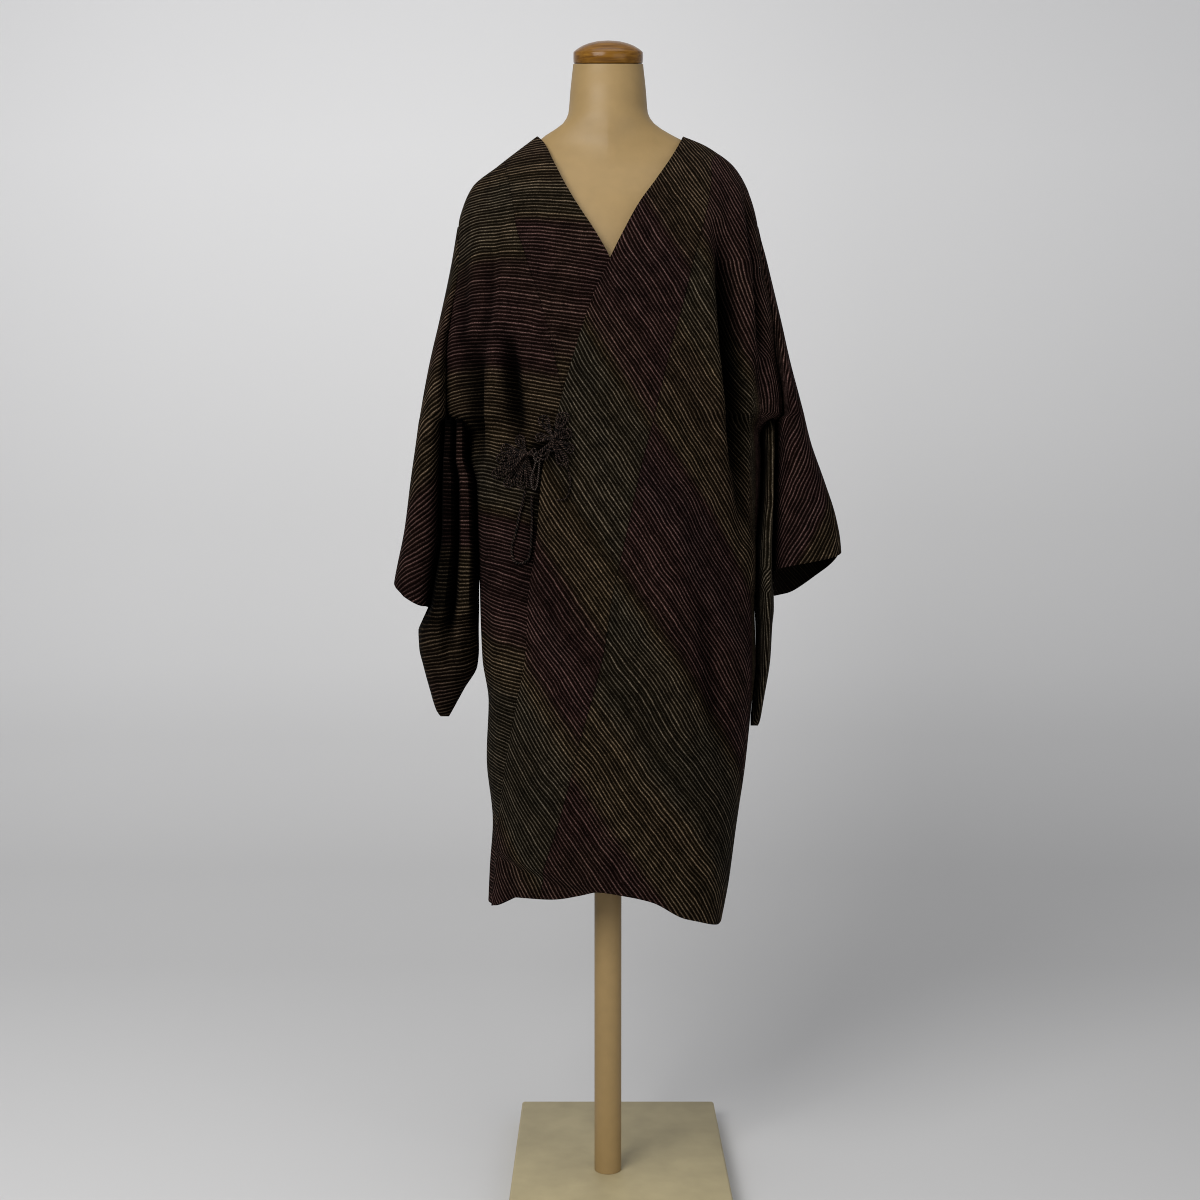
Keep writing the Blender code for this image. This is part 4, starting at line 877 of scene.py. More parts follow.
def join_patches(patches, outward):
    """Points, quads and values of a piece's grids together, with every quad facing outwards."""
    points, quads, values = [], [], []
    for patch in patches:
        size = patch["points"].shape[:2]
        flat, own = patch["points"].reshape(-1, 3), grid_quads(size)
        if np.sum(crossing(flat, own) * (flat[own[:, 0]] * outward)) < 0:
            own = own[:, ::-1]
        quads.append(own + sum(len(p) for p in points))
        points.append(flat)
        values.append(np.stack([np.broadcast_to(patch[key], size).ravel() for key in ATTRIBUTES], axis=1))
    return np.concatenate(points), np.concatenate(quads), np.concatenate(values)


def weld(points, quads):
    """Points without doubles, and the quads' corners among them."""
    keys = np.round(points / WELD).astype(np.int64)
    _, first, welded = np.unique(keys, axis=0, return_index=True, return_inverse=True)
    return points[first], welded.ravel()[quads]


def inner_face(outer, corners, wall):
    """The outer points moved inwards, further on a fold, so that the wall stays as thick there."""
    normals = crossing(outer, corners)
    normals /= np.maximum(np.linalg.norm(normals, axis=1, keepdims=True), LEAST)
    direction = np.zeros_like(outer)
    for i in range(4):
        np.add.at(direction, corners[:, i], normals)
    direction /= np.maximum(np.linalg.norm(direction, axis=1, keepdims=True), LEAST)
    lean, uses = np.zeros(len(outer)), np.zeros(len(outer))
    for i in range(4):
        np.add.at(lean, corners[:, i], np.sum(normals * direction[corners[:, i]], axis=1))
        np.add.at(uses, corners[:, i], 1.0)
    lean = np.clip(lean / np.maximum(uses, 1), MITRE_LIMIT, 1.0)
    return outer - direction * (wall / lean)[:, None]


def plain_faces(corners, quads):
    """Faces without the corners that the weld joined, and where each corner's values are."""
    faces, sources = [], []
    for face, source in zip(corners.tolist(), quads.tolist()):
        keep = [i for i in range(4) if face[i] != face[i - 1]]
        if len({face[i] for i in keep}) > 2:
            faces.append([face[i] for i in keep])
            sources.append([source[i] for i in keep])
    return faces, sources


def mesh_object(name, points, faces, sharp=None):
    """Smooth object whose edges stay hard where they bend by more than sharp degrees."""
    mesh = bpy.data.meshes.new(name)
    mesh.from_pydata(points, [], faces)
    mesh.shade_smooth()
    if sharp:
        mesh.set_sharp_from_angle(angle=math.radians(sharp))
    return bpy.data.objects.new(name, mesh)


def add_values(thing, key, domain, values):
    """One number for each point or corner of a mesh, which its material reads by name."""
    layer = thing.data.attributes.new(key, "FLOAT", domain)
    layer.data.foreach_set("value", np.array(values, dtype=np.float32))


def cloth_mesh(name, patches, wall, outward):
    """One closed wall from grids: outer face, inner face and the rim between them."""
    points, quads, values = join_patches(patches, outward)
    outer, corners = weld(points, quads)
    faces, sources = plain_faces(corners, quads)
    count, edges = len(outer), {}
    polygons = list(faces)
    loops = [number for source in sources for number in source]
    inside = [0.0] * len(loops)
    for face, source in zip(faces, sources):
        polygons.append([corner + count for corner in face[::-1]])
        loops.extend(source[::-1])
        inside.extend([1.0] * len(face))
        for i in range(len(face)):
            edges[(face[i - 1], face[i])] = (source[i - 1], source[i])
    for (a, b), (source_a, source_b) in edges.items():
        if (b, a) not in edges:
            polygons.append([b, a, a + count, b + count])
            loops.extend([source_b, source_a, source_a, source_b])
            inside.extend([RIM_SHADE] * 4)
    both = np.concatenate([outer, inner_face(outer, corners, wall)])
    thing = mesh_object(name, both.tolist(), polygons, sharp=60)
    for key, column in zip(ATTRIBUTES, values[loops].T):
        add_values(thing, key, "CORNER", column)
    add_values(thing, "inside", "CORNER", inside)
    return thing


class Shade:
    """One material, with short ways to add its nodes and to join them."""

    def __init__(self, name):
        self.material = bpy.data.materials.new(name)
        self.material.use_nodes = True
        self.tree = self.material.node_tree
        self.shader = self.tree.nodes["Principled BSDF"]
        self.place = self.node("ShaderNodeTexCoord").outputs["Object"]

    def node(self, kind, inputs=None, **settings):
        made = self.tree.nodes.new(kind)
        for key, value in settings.items():
            setattr(made, key, value)
        for key, value in (inputs or {}).items():
            self.join(value, made.inputs[key])
        return made

    def join(self, value, socket):
        if isinstance(value, bpy.types.NodeSocket):
            self.tree.links.new(value, socket)
        else:
            socket.default_value = value

    def value(self, name):
        return self.node("ShaderNodeAttribute", attribute_name=name).outputs["Fac"]

    def math(self, operation, a, b=0.0):
        return self.node("ShaderNodeMath", {0: a, 1: b}, operation=operation).outputs[0]

    def plus(self, a, b):
        return self.math("ADD", a, b)

    def times(self, a, b):
        return self.math("MULTIPLY", a, b)

    def noise(self, scale, detail, vector=None):
        inputs = {"Scale": scale, "Detail": detail, "Vector": vector or self.place}
        return self.node("ShaderNodeTexNoise", inputs).outputs["Fac"]

    def wobble(self, scale, detail, reach):
        """Noise around 0."""
        return self.times(self.math("SUBTRACT", self.noise(scale, detail), 0.5), reach)

    def ramp(self, factor, stops):
        made = self.node("ShaderNodeValToRGB", {"Fac": factor})
        elements = made.color_ramp.elements
        while len(elements) > 1:
            elements.remove(elements[-1])
        for i, (place, colour) in enumerate(stops):
            element = elements[0] if i == 0 else elements.new(place)
            element.position = place
            element.color = (*colour, 1.0)
        return made.outputs["Color"]

    def grey(self, factor, stops):
        return self.ramp(factor, [(place, (v, v, v)) for place, v in stops])

    def mix(self, factor, a, b, blend="MIX"):
        made = self.node("ShaderNodeMix", data_type="RGBA", blend_type=blend)
        for value, socket in ((factor, 0), (a, 6), (b, 7)):
            self.join((*value, 1.0) if isinstance(value, tuple) else value, made.inputs[socket])
        return made.outputs[2]

    def tint(self, colour, by):
        return self.mix(1.0, colour, by, "MULTIPLY")

    def finish(self, colour, roughness, specular, bumps):
        """The whole surface. Each bump is a height, a strength and a distance, on top of the last one."""
        self.join(colour, self.shader.inputs["Base Color"])
        self.shader.inputs["Roughness"].default_value = roughness
        self.shader.inputs["Specular IOR Level"].default_value = specular
        under = {}
        for height, strength, distance in bumps:
            inputs = {"Height": height, "Strength": strength, "Distance": distance, **under}
            under = {"Normal": self.node("ShaderNodeBump", inputs).outputs["Normal"]}
        self.join(under["Normal"], self.shader.inputs["Normal"])
        return self.material


# Colours of the ribs and of the thin light lines in each dye zone
RIB_COLOURS = [
    (0.0, (0.0024, 0.0019, 0.0009)), (0.25, (0.0030, 0.0019, 0.0007)), (0.5, (0.0027, 0.0015, 0.0007)),
    (0.75, (0.0027, 0.0011, 0.0008)), (1.0, (0.0021, 0.0009, 0.0009)),
]
LINE_COLOURS = [
    (0.0, (0.076, 0.064, 0.047)), (0.25, (0.106, 0.075, 0.046)), (0.5, (0.088, 0.059, 0.039)),
    (0.75, (0.080, 0.044, 0.038)), (1.0, (0.064, 0.040, 0.037)),
]
# Lightness and height across one stripe: a bright thin line and a weaker one between dark ribs
LINE_PROFILE = [
    (0.0, 0.0), (0.07, 0.0), (0.12, 0.10), (0.18, 0.22), (0.205, 1.0), (0.285, 1.0), (0.31, 0.20),
    (0.37, 0.08), (0.43, 0.0), (0.57, 0.0), (0.63, 0.10), (0.68, 0.20), (0.705, 0.55), (0.785, 0.55),
    (0.81, 0.18), (0.87, 0.08), (0.92, 0.0), (1.0, 0.0),
]
HEIGHT_PROFILE = [
    (0.0, 1.0), (0.15, 0.6), (0.20, 0.1), (0.245, 0.4), (0.29, 0.1), (0.35, 0.6), (0.50, 1.0),
    (0.65, 0.6), (0.70, 0.1), (0.745, 0.3), (0.79, 0.1), (0.85, 0.6), (1.0, 1.0),
]
LINE_WEAKEST = 0.40
LINE_STRONGEST = 1.45

# Noises of the cloth: scale, detail and, for a wobble, its reach in stripes or dye zones
SLOW_WAVE = (9.0, 1.0, 1.6)
QUICK_WAVE = (34.0, 2.0, 0.40)
DYE_DRIFT = (11.0, 2.0, 0.35)
DYE_STEP = 0.25
SPECKLE = (700.0, 2.0)
SPECKLE_TONES = [(0.30, 0.40), (0.50, 0.95), (0.72, 1.9)]
PATCHES = (70.0, 3.0)
PATCH_TONES = [(0.30, 0.65), (0.70, 1.35)]

# From a seam, in centimetres: a darker edge, painted shade of the seam's gap, and a row of stitches beside
# it
CENTIMETRES = 100.0
SEAM_SHADE_TONES = [(0.0, 0.55), (0.06, 0.75), (0.14, 1.0)]
STITCH_ROW = [(0.20, 0.0), (0.23, 1.0), (0.28, 1.0), (0.31, 0.0)]
STITCH_DASH = [(0.08, 0.0), (0.16, 1.0), (0.52, 1.0), (0.60, 0.0)]
STITCH_PITCH = 0.0042
STITCH_SHOWS = 0.5
STITCH_COLOUR = (0.010, 0.006, 0.005)
# The inner face, and partly the rim, darkened towards near black: painted shade inside the coat
INSIDE_SHADE = 0.9
INSIDE_SHADE_COLOUR = (0.0012, 0.0009, 0.0008)

# Wood and cord
WOOD_SQUEEZE = (6.0, 40.0, 120.0)
WOOD_COLOURS = [(0.30, (0.084, 0.034, 0.004)), (0.50, (0.138, 0.060, 0.007)), (0.70, (0.186, 0.086, 0.012))]
# Painted highlight and shade along a strand's turn: bright on its crests, dark between the strands
STRAND_LIGHT_TONES = [
    (0.0, 0.03), (0.15, 0.10), (0.25, 1.0), (0.35, 0.10), (0.5, 0.03), (0.65, 0.08), (0.75, 0.7),
    (0.85, 0.08), (1.0, 0.03),
]
CORD_COLOURS = [(0.36, (0.0036, 0.0020, 0.0016)), (0.64, (0.088, 0.056, 0.043))]
PALE_COLOUR = (0.105, 0.078, 0.064)


def striped_cloth():
    """Ribbed cloth: pairs of thin light lines between wide dark ribs, dyed in zones."""
    shade = Shade("striped_cloth")
    waves = shade.plus(shade.wobble(*SLOW_WAVE), shade.wobble(*QUICK_WAVE))
    stripe = shade.plus(shade.value("stripe"), waves)
    phase = shade.math("FRACT", stripe)
    number = shade.math("FLOOR", shade.times(stripe, 2.0))
    chance = shade.node("ShaderNodeTexWhiteNoise", {"W": number}, noise_dimensions="1D").outputs["Value"]
    strength = shade.plus(LINE_WEAKEST, shade.times(chance, LINE_STRONGEST - LINE_WEAKEST))
    lines = shade.times(shade.grey(phase, LINE_PROFILE), strength)
    zone = shade.plus(shade.times(shade.value("dye"), DYE_STEP), shade.wobble(*DYE_DRIFT))
    colour = shade.mix(lines, shade.ramp(zone, RIB_COLOURS), shade.ramp(zone, LINE_COLOURS))
    speckle = shade.noise(*SPECKLE)
    colour = shade.tint(colour, shade.grey(speckle, SPECKLE_TONES))
    colour = shade.tint(colour, shade.grey(shade.noise(*PATCHES), PATCH_TONES))
    from_edge = shade.times(shade.value("edge"), CENTIMETRES)
    # Painted shade beside seams and edges
    colour = shade.tint(colour, shade.grey(from_edge, SEAM_SHADE_TONES))
    dash = shade.math("FRACT", shade.times(shade.value("along"), 1 / STITCH_PITCH))
    stitch = shade.times(shade.grey(from_edge, STITCH_ROW), shade.grey(dash, STITCH_DASH))
    colour = shade.mix(shade.times(stitch, STITCH_SHOWS), colour, STITCH_COLOUR)
    colour = shade.tint(colour, shade.value("shade"))
    # Painted shade on the inner face and rim
    colour = shade.mix(shade.times(shade.value("inside"), INSIDE_SHADE), colour, INSIDE_SHADE_COLOUR)
    shade.shader.inputs["Sheen Weight"].default_value = 0.002
    shade.shader.inputs["Sheen Roughness"].default_value = 0.4
    height = shade.grey(phase, HEIGHT_PROFILE)
    return shade.finish(colour, roughness=0.78, specular=0.008,
                        bumps=[(speckle, 0.35, 0.0004), (height, 0.9, 0.0014)])


def plain(name, colour, roughness, grain, scale):
    """Painted surface with a faint mottled grain."""
    shade = Shade(name)
    spots = shade.noise(scale, detail=4.0)
    tone = shade.grey(spots, [(0.30, 1 - grain), (0.70, 1 + grain)])
    return shade.finish(shade.tint(colour, tone), roughness, specular=0.3, bumps=[(spots, 0.25, 0.0003)])


def turned_wood():
    """Varnished wood with fine rings and grain."""
    shade = Shade("turned_wood")
    squeeze = shade.node("ShaderNodeMapping", {"Vector": shade.place, "Scale": WOOD_SQUEEZE})
    grain = shade.noise(3.0, 6.0, squeeze.outputs["Vector"])
    return shade.finish(shade.ramp(grain, WOOD_COLOURS), roughness=0.22, specular=0.16,
                        bumps=[(grain, 0.2, 0.0003)])


def twisted_cord():
    """Dark cord whose strands get a painted highlight on their crests and painted shade between them as
    they turn.
    """
    shade = Shade("twisted_cord")
    # Painted highlight and shade on the strands
    strand = shade.grey(shade.math("FRACT", shade.value("ply")), STRAND_LIGHT_TONES)
    spots = shade.noise(260.0, 3.0)
    base = shade.mix(shade.value("pale"), shade.ramp(spots, CORD_COLOURS), PALE_COLOUR)
    return shade.finish(shade.tint(base, strand), roughness=0.70, specular=0.05,
                        bumps=[(spots, 0.4, 0.0004)])


def show(thing, finish, slot, *nodes):
    """Put a piece in the scene in place of its solids."""
    thing.data.materials.append(finish)
    bpy.context.scene.collection.objects.link(thing)
    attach(thing, "root")
    if nodes:
        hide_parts(*nodes)


# Outwards is away from the axis for the body and the band, and from the middle plane for a sleeve
FROM_AXIS = (1.0, 1.0, 0.0)
FROM_MIDDLE = (0.0, 1.0, 0.0)


def make_cloth():
    """Body halves, sleeves and collar band."""
    finish = striped_cloth()
    made = {}
    for side, layer, columns in FRONTS:
        patches = [panel(side, layer, columns), panel(side, "back", BACK_CELLS)]
        made["body_" + side] = cloth_mesh("cloth_body_" + side, patches, WALL, FROM_AXIS)
        made["sleeve_" + side] = cloth_mesh("cloth_sleeve_" + side, sleeve(side), WALL, FROM_MIDDLE)
    made["collar_band"] = cloth_mesh("cloth_collar_band", [collar(BAND_CELLS)], BAND_WALL, FROM_AXIS)
    for node, thing in made.items():
        show(thing, finish, "striped_cloth", node)


# Torso and neck of the form
FORM = table("z right left depth squareness", [
    (0.655, 0.1440, 0.1440, 0.092, 2.2),
    (0.665, 0.1500, 0.1500, 0.098, 2.2),
    (0.720, 0.1550, 0.1550, 0.102, 2.2),
    (0.800, 0.1540, 0.1540, 0.103, 2.2),
    (0.900, 0.1440, 0.1440, 0.098, 2.2),
    (0.970, 0.1380, 0.1380, 0.096, 2.2),
    (1.050, 0.1410, 0.1410, 0.099, 2.2),
    (1.120, 0.1500, 0.1500, 0.102, 2.2),
    (1.180, 0.1590, 0.1590, 0.098, 2.2),
    (1.220, 0.1660, 0.1670, 0.093, 2.1),
    (1.250, 0.1720, 0.1730, 0.085, 2.0),
    (1.270, 0.1690, 0.1710, 0.078, 2.0),
    (1.295, 0.1580, 0.1620, 0.066, 1.9),
    (1.3205, 0.1318, 0.1500, 0.055, 1.6),
    (1.3455, 0.1010, 0.1170, 0.051, 1.4),
    (1.3625, 0.0806, 0.0829, 0.053, 1.5),
    (1.3750, 0.0590, 0.0600, 0.0530, 1.9),
    (1.3900, 0.0505, 0.0505, 0.0505, 2.0),
    (1.4200, 0.0478, 0.0478, 0.0478, 2.0),
    (1.4532, 0.0442, 0.0442, 0.0442, 2.0),
])
FORM_SIDES = 128
FORM_STEP = 0.008
CAP_BOTTOM = 1.4535
CAP_LEAN = 18.0
NECK_BEND = 1.400
CAP_PROFILE = table("height radius", [
    (0.0, 0.0425), (0.0015, 0.0438), (0.0070, 0.0440), (0.0135, 0.0438), (0.0148, 0.0425),
    (0.0175, 0.0390), (0.0212, 0.0325), (0.0243, 0.0240), (0.0265, 0.0140), (0.0274, 0.0008),
])
POLE_RADIUS = 0.0175
POLE_SIDES = 64
BASE_SIZE = (0.280, 0.450, 0.030)
BASE_SHIFT = 0.016
BASE_ROUND = 0.003
CREAM = (0.235, 0.155, 0.062)
BOARD = (0.36, 0.30, 0.17)


def loft(name, rings):
    """Closed solid through rings of equally many points, from its lowest to its highest."""
    count = len(rings[0])
    points = [tuple(point) for ring_points in rings for point in ring_points]
    faces = [tuple(range(count))[::-1], tuple(range(len(points) - count, len(points)))]
    for low in range(0, len(points) - count, count):
        for i in range(count):
            j = (i + 1) % count
            faces.append((low + i, low + j, low + count + j, low + count + i))
    return mesh_object(name, points, faces, sharp=50)


def circle(radius, z, count=FORM_SIDES):
    """Level round ring about the axis."""
    angles = np.linspace(0, 2 * math.pi, count, endpoint=False)
    return np.stack([radius * np.cos(angles), radius * np.sin(angles), z + 0 * angles], axis=1)


def form_ring(z):
    """Ring of the torso or the neck, which leans forward towards the cap."""
    angles = np.linspace(0, 2 * math.pi, FORM_SIDES, endpoint=False)
    across, along = np.cos(angles), np.sin(angles)
    power = 2 / float(read(FORM, "squareness", z))
    width = np.where(across < 0, read(FORM, "right", z), read(FORM, "left", z))
    x = width * np.sign(across) * np.abs(across) ** power
    y = read(FORM, "depth", z) * np.sign(along) * np.abs(along) ** power
    lean = math.radians(CAP_LEAN) * float(ramp(NECK_BEND, CAP_BOTTOM, z))
    return np.stack([x, y * math.cos(lean), z + y * math.sin(lean)], axis=1)


def make_form():
    """Torso with its neck, turned cap, pole and board."""
    cream = plain("cream_form", CREAM, roughness=0.50, grain=0.04, scale=60.0)
    board = plain("painted_board", BOARD, roughness=0.55, grain=0.12, scale=18.0)
    rings = [form_ring(z) for z in finer(FORM["z"], FORM_STEP)]
    show(loft("torso", rings), cream, "cream_form", "form_torso")
    rings = [circle(radius, z) for z, radius in zip(CAP_PROFILE["height"], CAP_PROFILE["radius"])]
    cap = loft("cap", rings)
    cap.location.z = CAP_BOTTOM
    cap.rotation_euler.x = math.radians(CAP_LEAN)
    show(cap, turned_wood(), "turned_wood", "form_cap")
    top = BASE_SIZE[2]
    rings = [circle(POLE_RADIUS, z, POLE_SIDES) for z in (top + SEAM_GAP, FORM["z"][0] - SEAM_GAP)]
    show(loft("pole", rings), cream, "cream_form", "form_pole")
    rings = []
    for inset, z in ((BASE_ROUND, 0.0), (0.0, BASE_ROUND), (0.0, top - BASE_ROUND), (BASE_ROUND, top)):
        x, y = BASE_SIZE[0] / 2 - inset, BASE_SIZE[1] / 2 - inset
        rings.append([(BASE_SHIFT + a * x, b * y, z) for a, b in ((1, -1), (1, 1), (-1, 1), (-1, -1))])
    show(loft("base", rings), board, "cream_form", "form_base")


# Tubes: sides and step, how tightly they are twisted, depth of their grooves and where the turns start
CORD_SIDES = 12
CORD_STEP = 0.0012
TWIST = 0.75
PLY_DEPTH = 0.22
# Where the turns start also puts each strand's painted highlight forward
PLY_START = 50.25
PALE = 0.9

# Cords: name, layer, route as x, z and height, radius, paleness, replaced node, and what the far end is
CORDS = [
    ("long_loop", "under", [
        (-0.0990, 0.9100, 0.0060), (-0.1060, 0.8850, 0.0030), (-0.1110, 0.8600, 0.0028),
        (-0.1170, 0.8380, 0.0028), (-0.1150, 0.8270, 0.0028), (-0.1060, 0.8230, 0.0028),
        (-0.0970, 0.8280, 0.0028), (-0.0940, 0.8420, 0.0028), (-0.0925, 0.8700, 0.0028),
        (-0.0920, 0.9050, 0.0060)], 0.0017, 0.0, "cord_loop", "object"),
    ("short_strands", "under", [
        (-0.0840, 0.9500, 0.0150), (-0.0870, 0.9380, 0.0140), (-0.0905, 0.9260, 0.0130),
        (-0.0900, 0.9150, 0.0120), (-0.0870, 0.9110, 0.0120), (-0.0835, 0.9160, 0.0130),
        (-0.0815, 0.9300, 0.0140), (-0.0800, 0.9480, 0.0150)], 0.0011, PALE, None, "object"),
    ("small_cord", "over", [
        (-0.0520, 0.9480, 0.0050), (-0.0480, 0.9340, 0.0030), (-0.0455, 0.9190, 0.0026),
        (-0.0480, 0.9050, 0.0026), (-0.0540, 0.8990, 0.0026), (-0.0610, 0.8990, 0.0026)],
     0.0009, 0.0, None, "bare"),
]

# Knots: layer and middle, and of each loop the direction in degrees, length, half width, and height of
# the root and of the tip
KNOTS = {
    "knot_over": ("over", -0.0630, 0.9700, table("angle length wide root tip", [
        (20, 0.0210, 0.0042, 0.0060, 0.0030), (75, 0.0340, 0.0050, 0.0040, 0.0020),
        (118, 0.0320, 0.0046, 0.0070, 0.0030), (165, 0.0200, 0.0040, 0.0040, 0.0020),
        (238, 0.0270, 0.0046, 0.0060, 0.0030), (285, 0.0310, 0.0048, 0.0040, 0.0020),
        (335, 0.0240, 0.0042, 0.0070, 0.0030), (60, 0.0160, 0.0034, 0.0120, 0.0070),
        (250, 0.0150, 0.0034, 0.0120, 0.0070),
    ])),
    "knot_under": ("under", -0.0975, 0.9540, table("angle length wide root tip", [
        (118, 0.0230, 0.0044, 0.0040, 0.0020), (157, 0.0300, 0.0044, 0.0070, 0.0030),
        (192, 0.0350, 0.0046, 0.0040, 0.0020), (218, 0.0460, 0.0048, 0.0070, 0.0030),
        (238, 0.0450, 0.0046, 0.0040, 0.0020), (256, 0.0410, 0.0044, 0.0070, 0.0030),
        (273, 0.0400, 0.0042, 0.0040, 0.0020), (222, 0.0260, 0.0036, 0.0130, 0.0080),
        (176, 0.0190, 0.0034, 0.0120, 0.0080), (12, 0.0120, 0.0034, 0.0080, 0.0060),
    ])),
}
# Small ring of the lower knot, from which the short strands hang
RING = [(-0.0780, 0.9500, 0.0160), (-0.0800, 0.9545, 0.0160), (-0.0840, 0.9555, 0.0160),
        (-0.0872, 0.9520, 0.0160), (-0.0860, 0.9475, 0.0160), (-0.0820, 0.9455, 0.0160),
        (-0.0780, 0.9490, 0.0160)]
RING_RADIUS = 0.0012

# Shape of the loops, and the strands nested in each: share of its width, and how much shorter it is
LOOP_POINTS = 13
LOOP_BLUNT = 0.7
LOOP_NARROW = 0.75
LOOP_BELLY = 0.5
LOOP_BEND = 0.12
LOOP_ARCH = 0.003
STRAND_RADIUS = 0.00130
STRAND_SIDES = 8
NESTED = [(1.20, 0.0), (0.45, 0.0038)]


def cord_path(points, layer):
    """A route of x, z and height made smooth and laid on the cloth, with a point every CORD_STEP."""
    route = np.array(points, dtype=float)
    run = climb(route[:, None])[:, 0]
    source = table("run x z height", [(at, *point) for at, point in zip(run, route)])
    at = np.linspace(0, run[-1], int(run[-1] / CORD_STEP))
    return on_front(read(source, "x", at), read(source, "z", at), layer, read(source, "height", at))


def tube(path, radius, sides, pale):
    """Rings of twisted strands along a path, how far each point has turned, and how pale it is."""
    tangent = np.gradient(path, axis=0)
    tangent /= np.maximum(np.linalg.norm(tangent, axis=1, keepdims=True), LEAST)
    side = np.cross(tangent, [0.0, -1.0, 0.0])
    side /= np.maximum(np.linalg.norm(side, axis=1, keepdims=True), LEAST)
    up = np.cross(side, tangent)
    angles = np.linspace(0, 2 * math.pi, sides, endpoint=False)
    turn = angles - climb(path[:, None]) / (TWIST * radius)
    size = radius * (1 - PLY_DEPTH + PLY_DEPTH * np.abs(np.cos(turn)))
    around = np.cos(angles)[:, None] * side[:, None] + np.sin(angles)[:, None] * up[:, None]
    return path[:, None] + size[..., None] * around, turn / (2 * math.pi), pale


def cord_mesh(name, tubes):
    """One mesh from closed tubes."""
    points, faces, plies, pales = [], [], [], []
    for rings, turn, pale in tubes:
        start, (rows, count) = len(points), rings.shape[:2]
        points.extend(map(tuple, rings.reshape(-1, 3)))
        plies.extend(turn.ravel() + PLY_START)
        pales.extend([pale] * (rows * count))
        faces.append([start + i for i in range(count)][::-1])
        faces.append([start + (rows - 1) * count + i for i in range(count)])
        for quad in grid_quads((rows, count + 1)):
            row, column = quad // (count + 1), quad % (count + 1) % count
            faces.append((start + row * count + column).tolist())
    thing = mesh_object(name, points, faces)
    add_values(thing, "ply", "POINT", plies)
    add_values(thing, "pale", "POINT", pales)
    return thing


def knot_tubes(layer, centre_x, centre_z, loops):
    """Nested loops of parallel strands that run out and back from the middle of a knot."""
    made = []
    t = np.linspace(0, 1, LOOP_POINTS)
    arch = np.sin(math.pi * t)
    columns = [loops[key] for key in ("angle", "length", "wide", "root", "tip")]
    for angle, length, wide, root, tip in zip(*columns):
        c, s = math.cos(math.radians(angle)), math.sin(math.radians(angle))
        for share, shorter in NESTED:
            reach = length - shorter
            out = arch ** LOOP_BLUNT * reach
            off = np.sin(2 * math.pi * t) * wide * share * (LOOP_NARROW + LOOP_BELLY * arch ** 2)
            bend = LOOP_BEND * out * np.sin(math.pi * out / reach / 2) * math.sin(math.radians(angle * 3))
            high = root + (tip - root) * (out / reach) + LOOP_ARCH * arch ** 4
            x = centre_x + out * c - (off + bend) * s
            z = centre_z + out * s + (off + bend) * c
            path = cord_path(np.stack([x, z, high], axis=1), layer)
            made.append(tube(path, STRAND_RADIUS, STRAND_SIDES, 0.0))
    return made


def make_cords():
    """The two tied knots and the cords that hang from them."""
    finish = twisted_cord()
    ring_tube = tube(cord_path(RING, "under"), RING_RADIUS, STRAND_SIDES, PALE)
    for node, (layer, x, z, loops) in KNOTS.items():
        tubes = knot_tubes(layer, x, z, loops) + ([ring_tube] if layer == "under" else [])
        show(cord_mesh("tied_" + node, tubes), finish, "twisted_cord", node)
    for name, layer, points, radius, pale, node, end in CORDS:
        path = cord_path(points, layer)
        thing = cord_mesh(name, [tube(path, radius, CORD_SIDES, pale)])
        show(thing, finish, "twisted_cord", *([node] if node else []))


# Camera as the photograph's: place, pitch below level and focal length
CAMERA_AT = (-0.0103, -1.82, 0.85)
CAMERA_PITCH = 2.385
CAMERA_LENS = 42.51
CAMERA_SENSOR = 36.0


def make_camera():
    """The one camera of the scene."""
    camera = bpy.data.objects.new("camera", bpy.data.cameras.new("camera"))
    camera.data.lens = CAMERA_LENS
    camera.data.sensor_width = CAMERA_SENSOR
    camera.location = CAMERA_AT
    camera.rotation_euler = (math.radians(90 - CAMERA_PITCH), 0.0, 0.0)
    bpy.context.scene.collection.objects.link(camera)
    bpy.context.scene.camera = camera


# Studio: name, place, aim, size and power of each lamp
LAMPS = [
    ("key", (-1.3, -2.2, 2.2), (0.0, 0.0, 0.8), 1.6, 88.0),
    ("fill", (1.8, -2.4, 1.2), (0.0, 0.0, 0.7), 2.2, 26.0),
    ("top", (0.0, -0.4, 3.2), (0.0, 0.0, 1.0), 1.4, 12.0),
]
SKY = (0.9, 0.93, 1.0, 1.0)
SKY_STRENGTH = 0.35
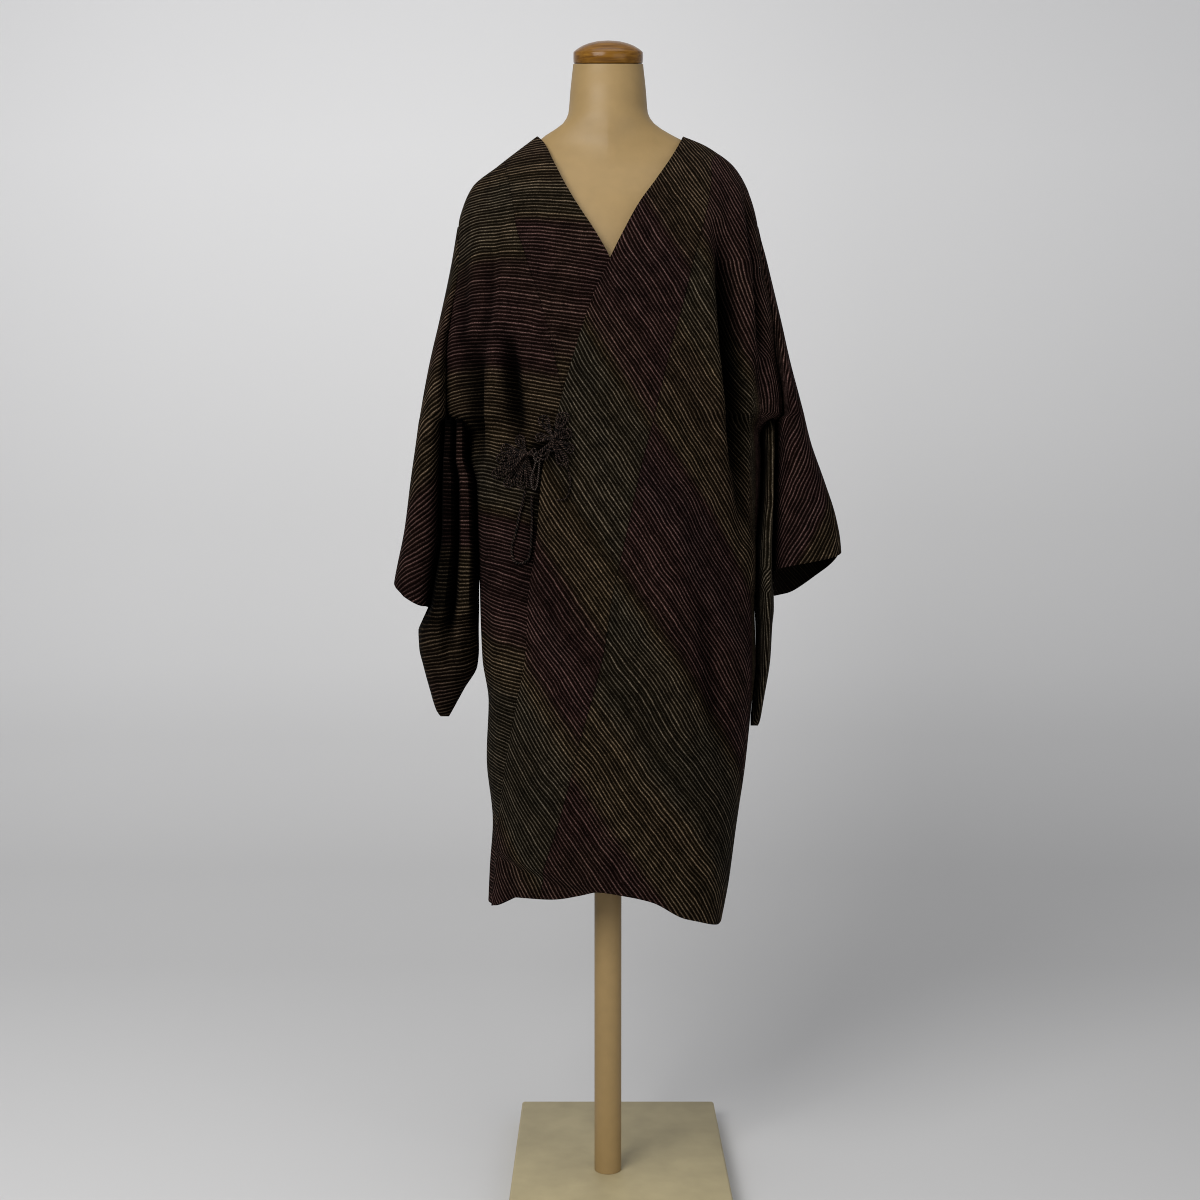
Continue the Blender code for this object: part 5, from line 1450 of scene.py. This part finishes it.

# Backdrop: its line from the floor up, its half width, its colour and how its painted light runs
BACKDROP = [(-4.0, 0.0), (1.0, 0.0), (1.6, 0.05), (2.1, 0.3), (2.4, 0.9), (2.5, 4.5)]
PAPER_HALF = 5.0
PAPER = (0.705, 0.696, 0.684)
PAPER_SCALE = 0.3
PAPER_LIGHT_UP = [(0.0, 0.77), (0.15, 0.96), (0.6, 1.26)]
PAPER_LIGHT_ACROSS = [(0.1, 1.06), (0.5, 1.0), (0.75, 0.93)]


def make_lamps():
    """Square lamps, each turned to its aim."""
    for name, place, aim, size, power in LAMPS:
        lamp = bpy.data.objects.new(name, bpy.data.lights.new(name, "AREA"))
        lamp.data.size = size
        lamp.data.energy = power
        lamp.location = place
        lamp.rotation_euler = (Vector(aim) - Vector(place)).to_track_quat("-Z", "Y").to_euler()
        bpy.context.scene.collection.objects.link(lamp)


def make_backdrop():
    """Paper that sweeps up behind the form, with painted light: lighter towards its top and its left."""
    paper = Shade("backdrop_paper")
    place = paper.node("ShaderNodeSeparateXYZ", {"Vector": paper.place})
    # Painted light: brighter up the paper and towards its left
    high = paper.grey(paper.times(place.outputs["Z"], PAPER_SCALE), PAPER_LIGHT_UP)
    wide = paper.grey(paper.plus(paper.times(place.outputs["X"], PAPER_SCALE), 0.5), PAPER_LIGHT_ACROSS)
    paper.join(paper.tint(paper.tint(high, wide), PAPER), paper.shader.inputs["Base Color"])
    paper.shader.inputs["Roughness"].default_value = 0.9
    points = [(x, y, z) for x in (-PAPER_HALF, PAPER_HALF) for y, z in BACKDROP]
    count = len(BACKDROP)
    faces = [(i, i + count, i + count + 1, i + 1) for i in range(count - 1)]
    backdrop = mesh_object("backdrop", points, faces)
    backdrop.data.materials.append(paper.material)
    bpy.context.scene.collection.objects.link(backdrop)


def make_studio():
    """Lamps, backdrop, soft light from all around and the way the picture is shown."""
    make_lamps()
    make_backdrop()
    world = bpy.data.worlds.new("studio")
    world.use_nodes = True
    sky = world.node_tree.nodes["Background"]
    sky.inputs["Color"].default_value = SKY
    sky.inputs["Strength"].default_value = SKY_STRENGTH
    bpy.context.scene.world = world
    bpy.context.scene.view_settings.view_transform = "Standard"
    bpy.context.scene.cycles.filter_width = 1.0


def main():
    """The whole scene."""
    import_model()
    make_cloth()
    make_form()
    make_cords()
    make_camera()
    make_studio()


main()
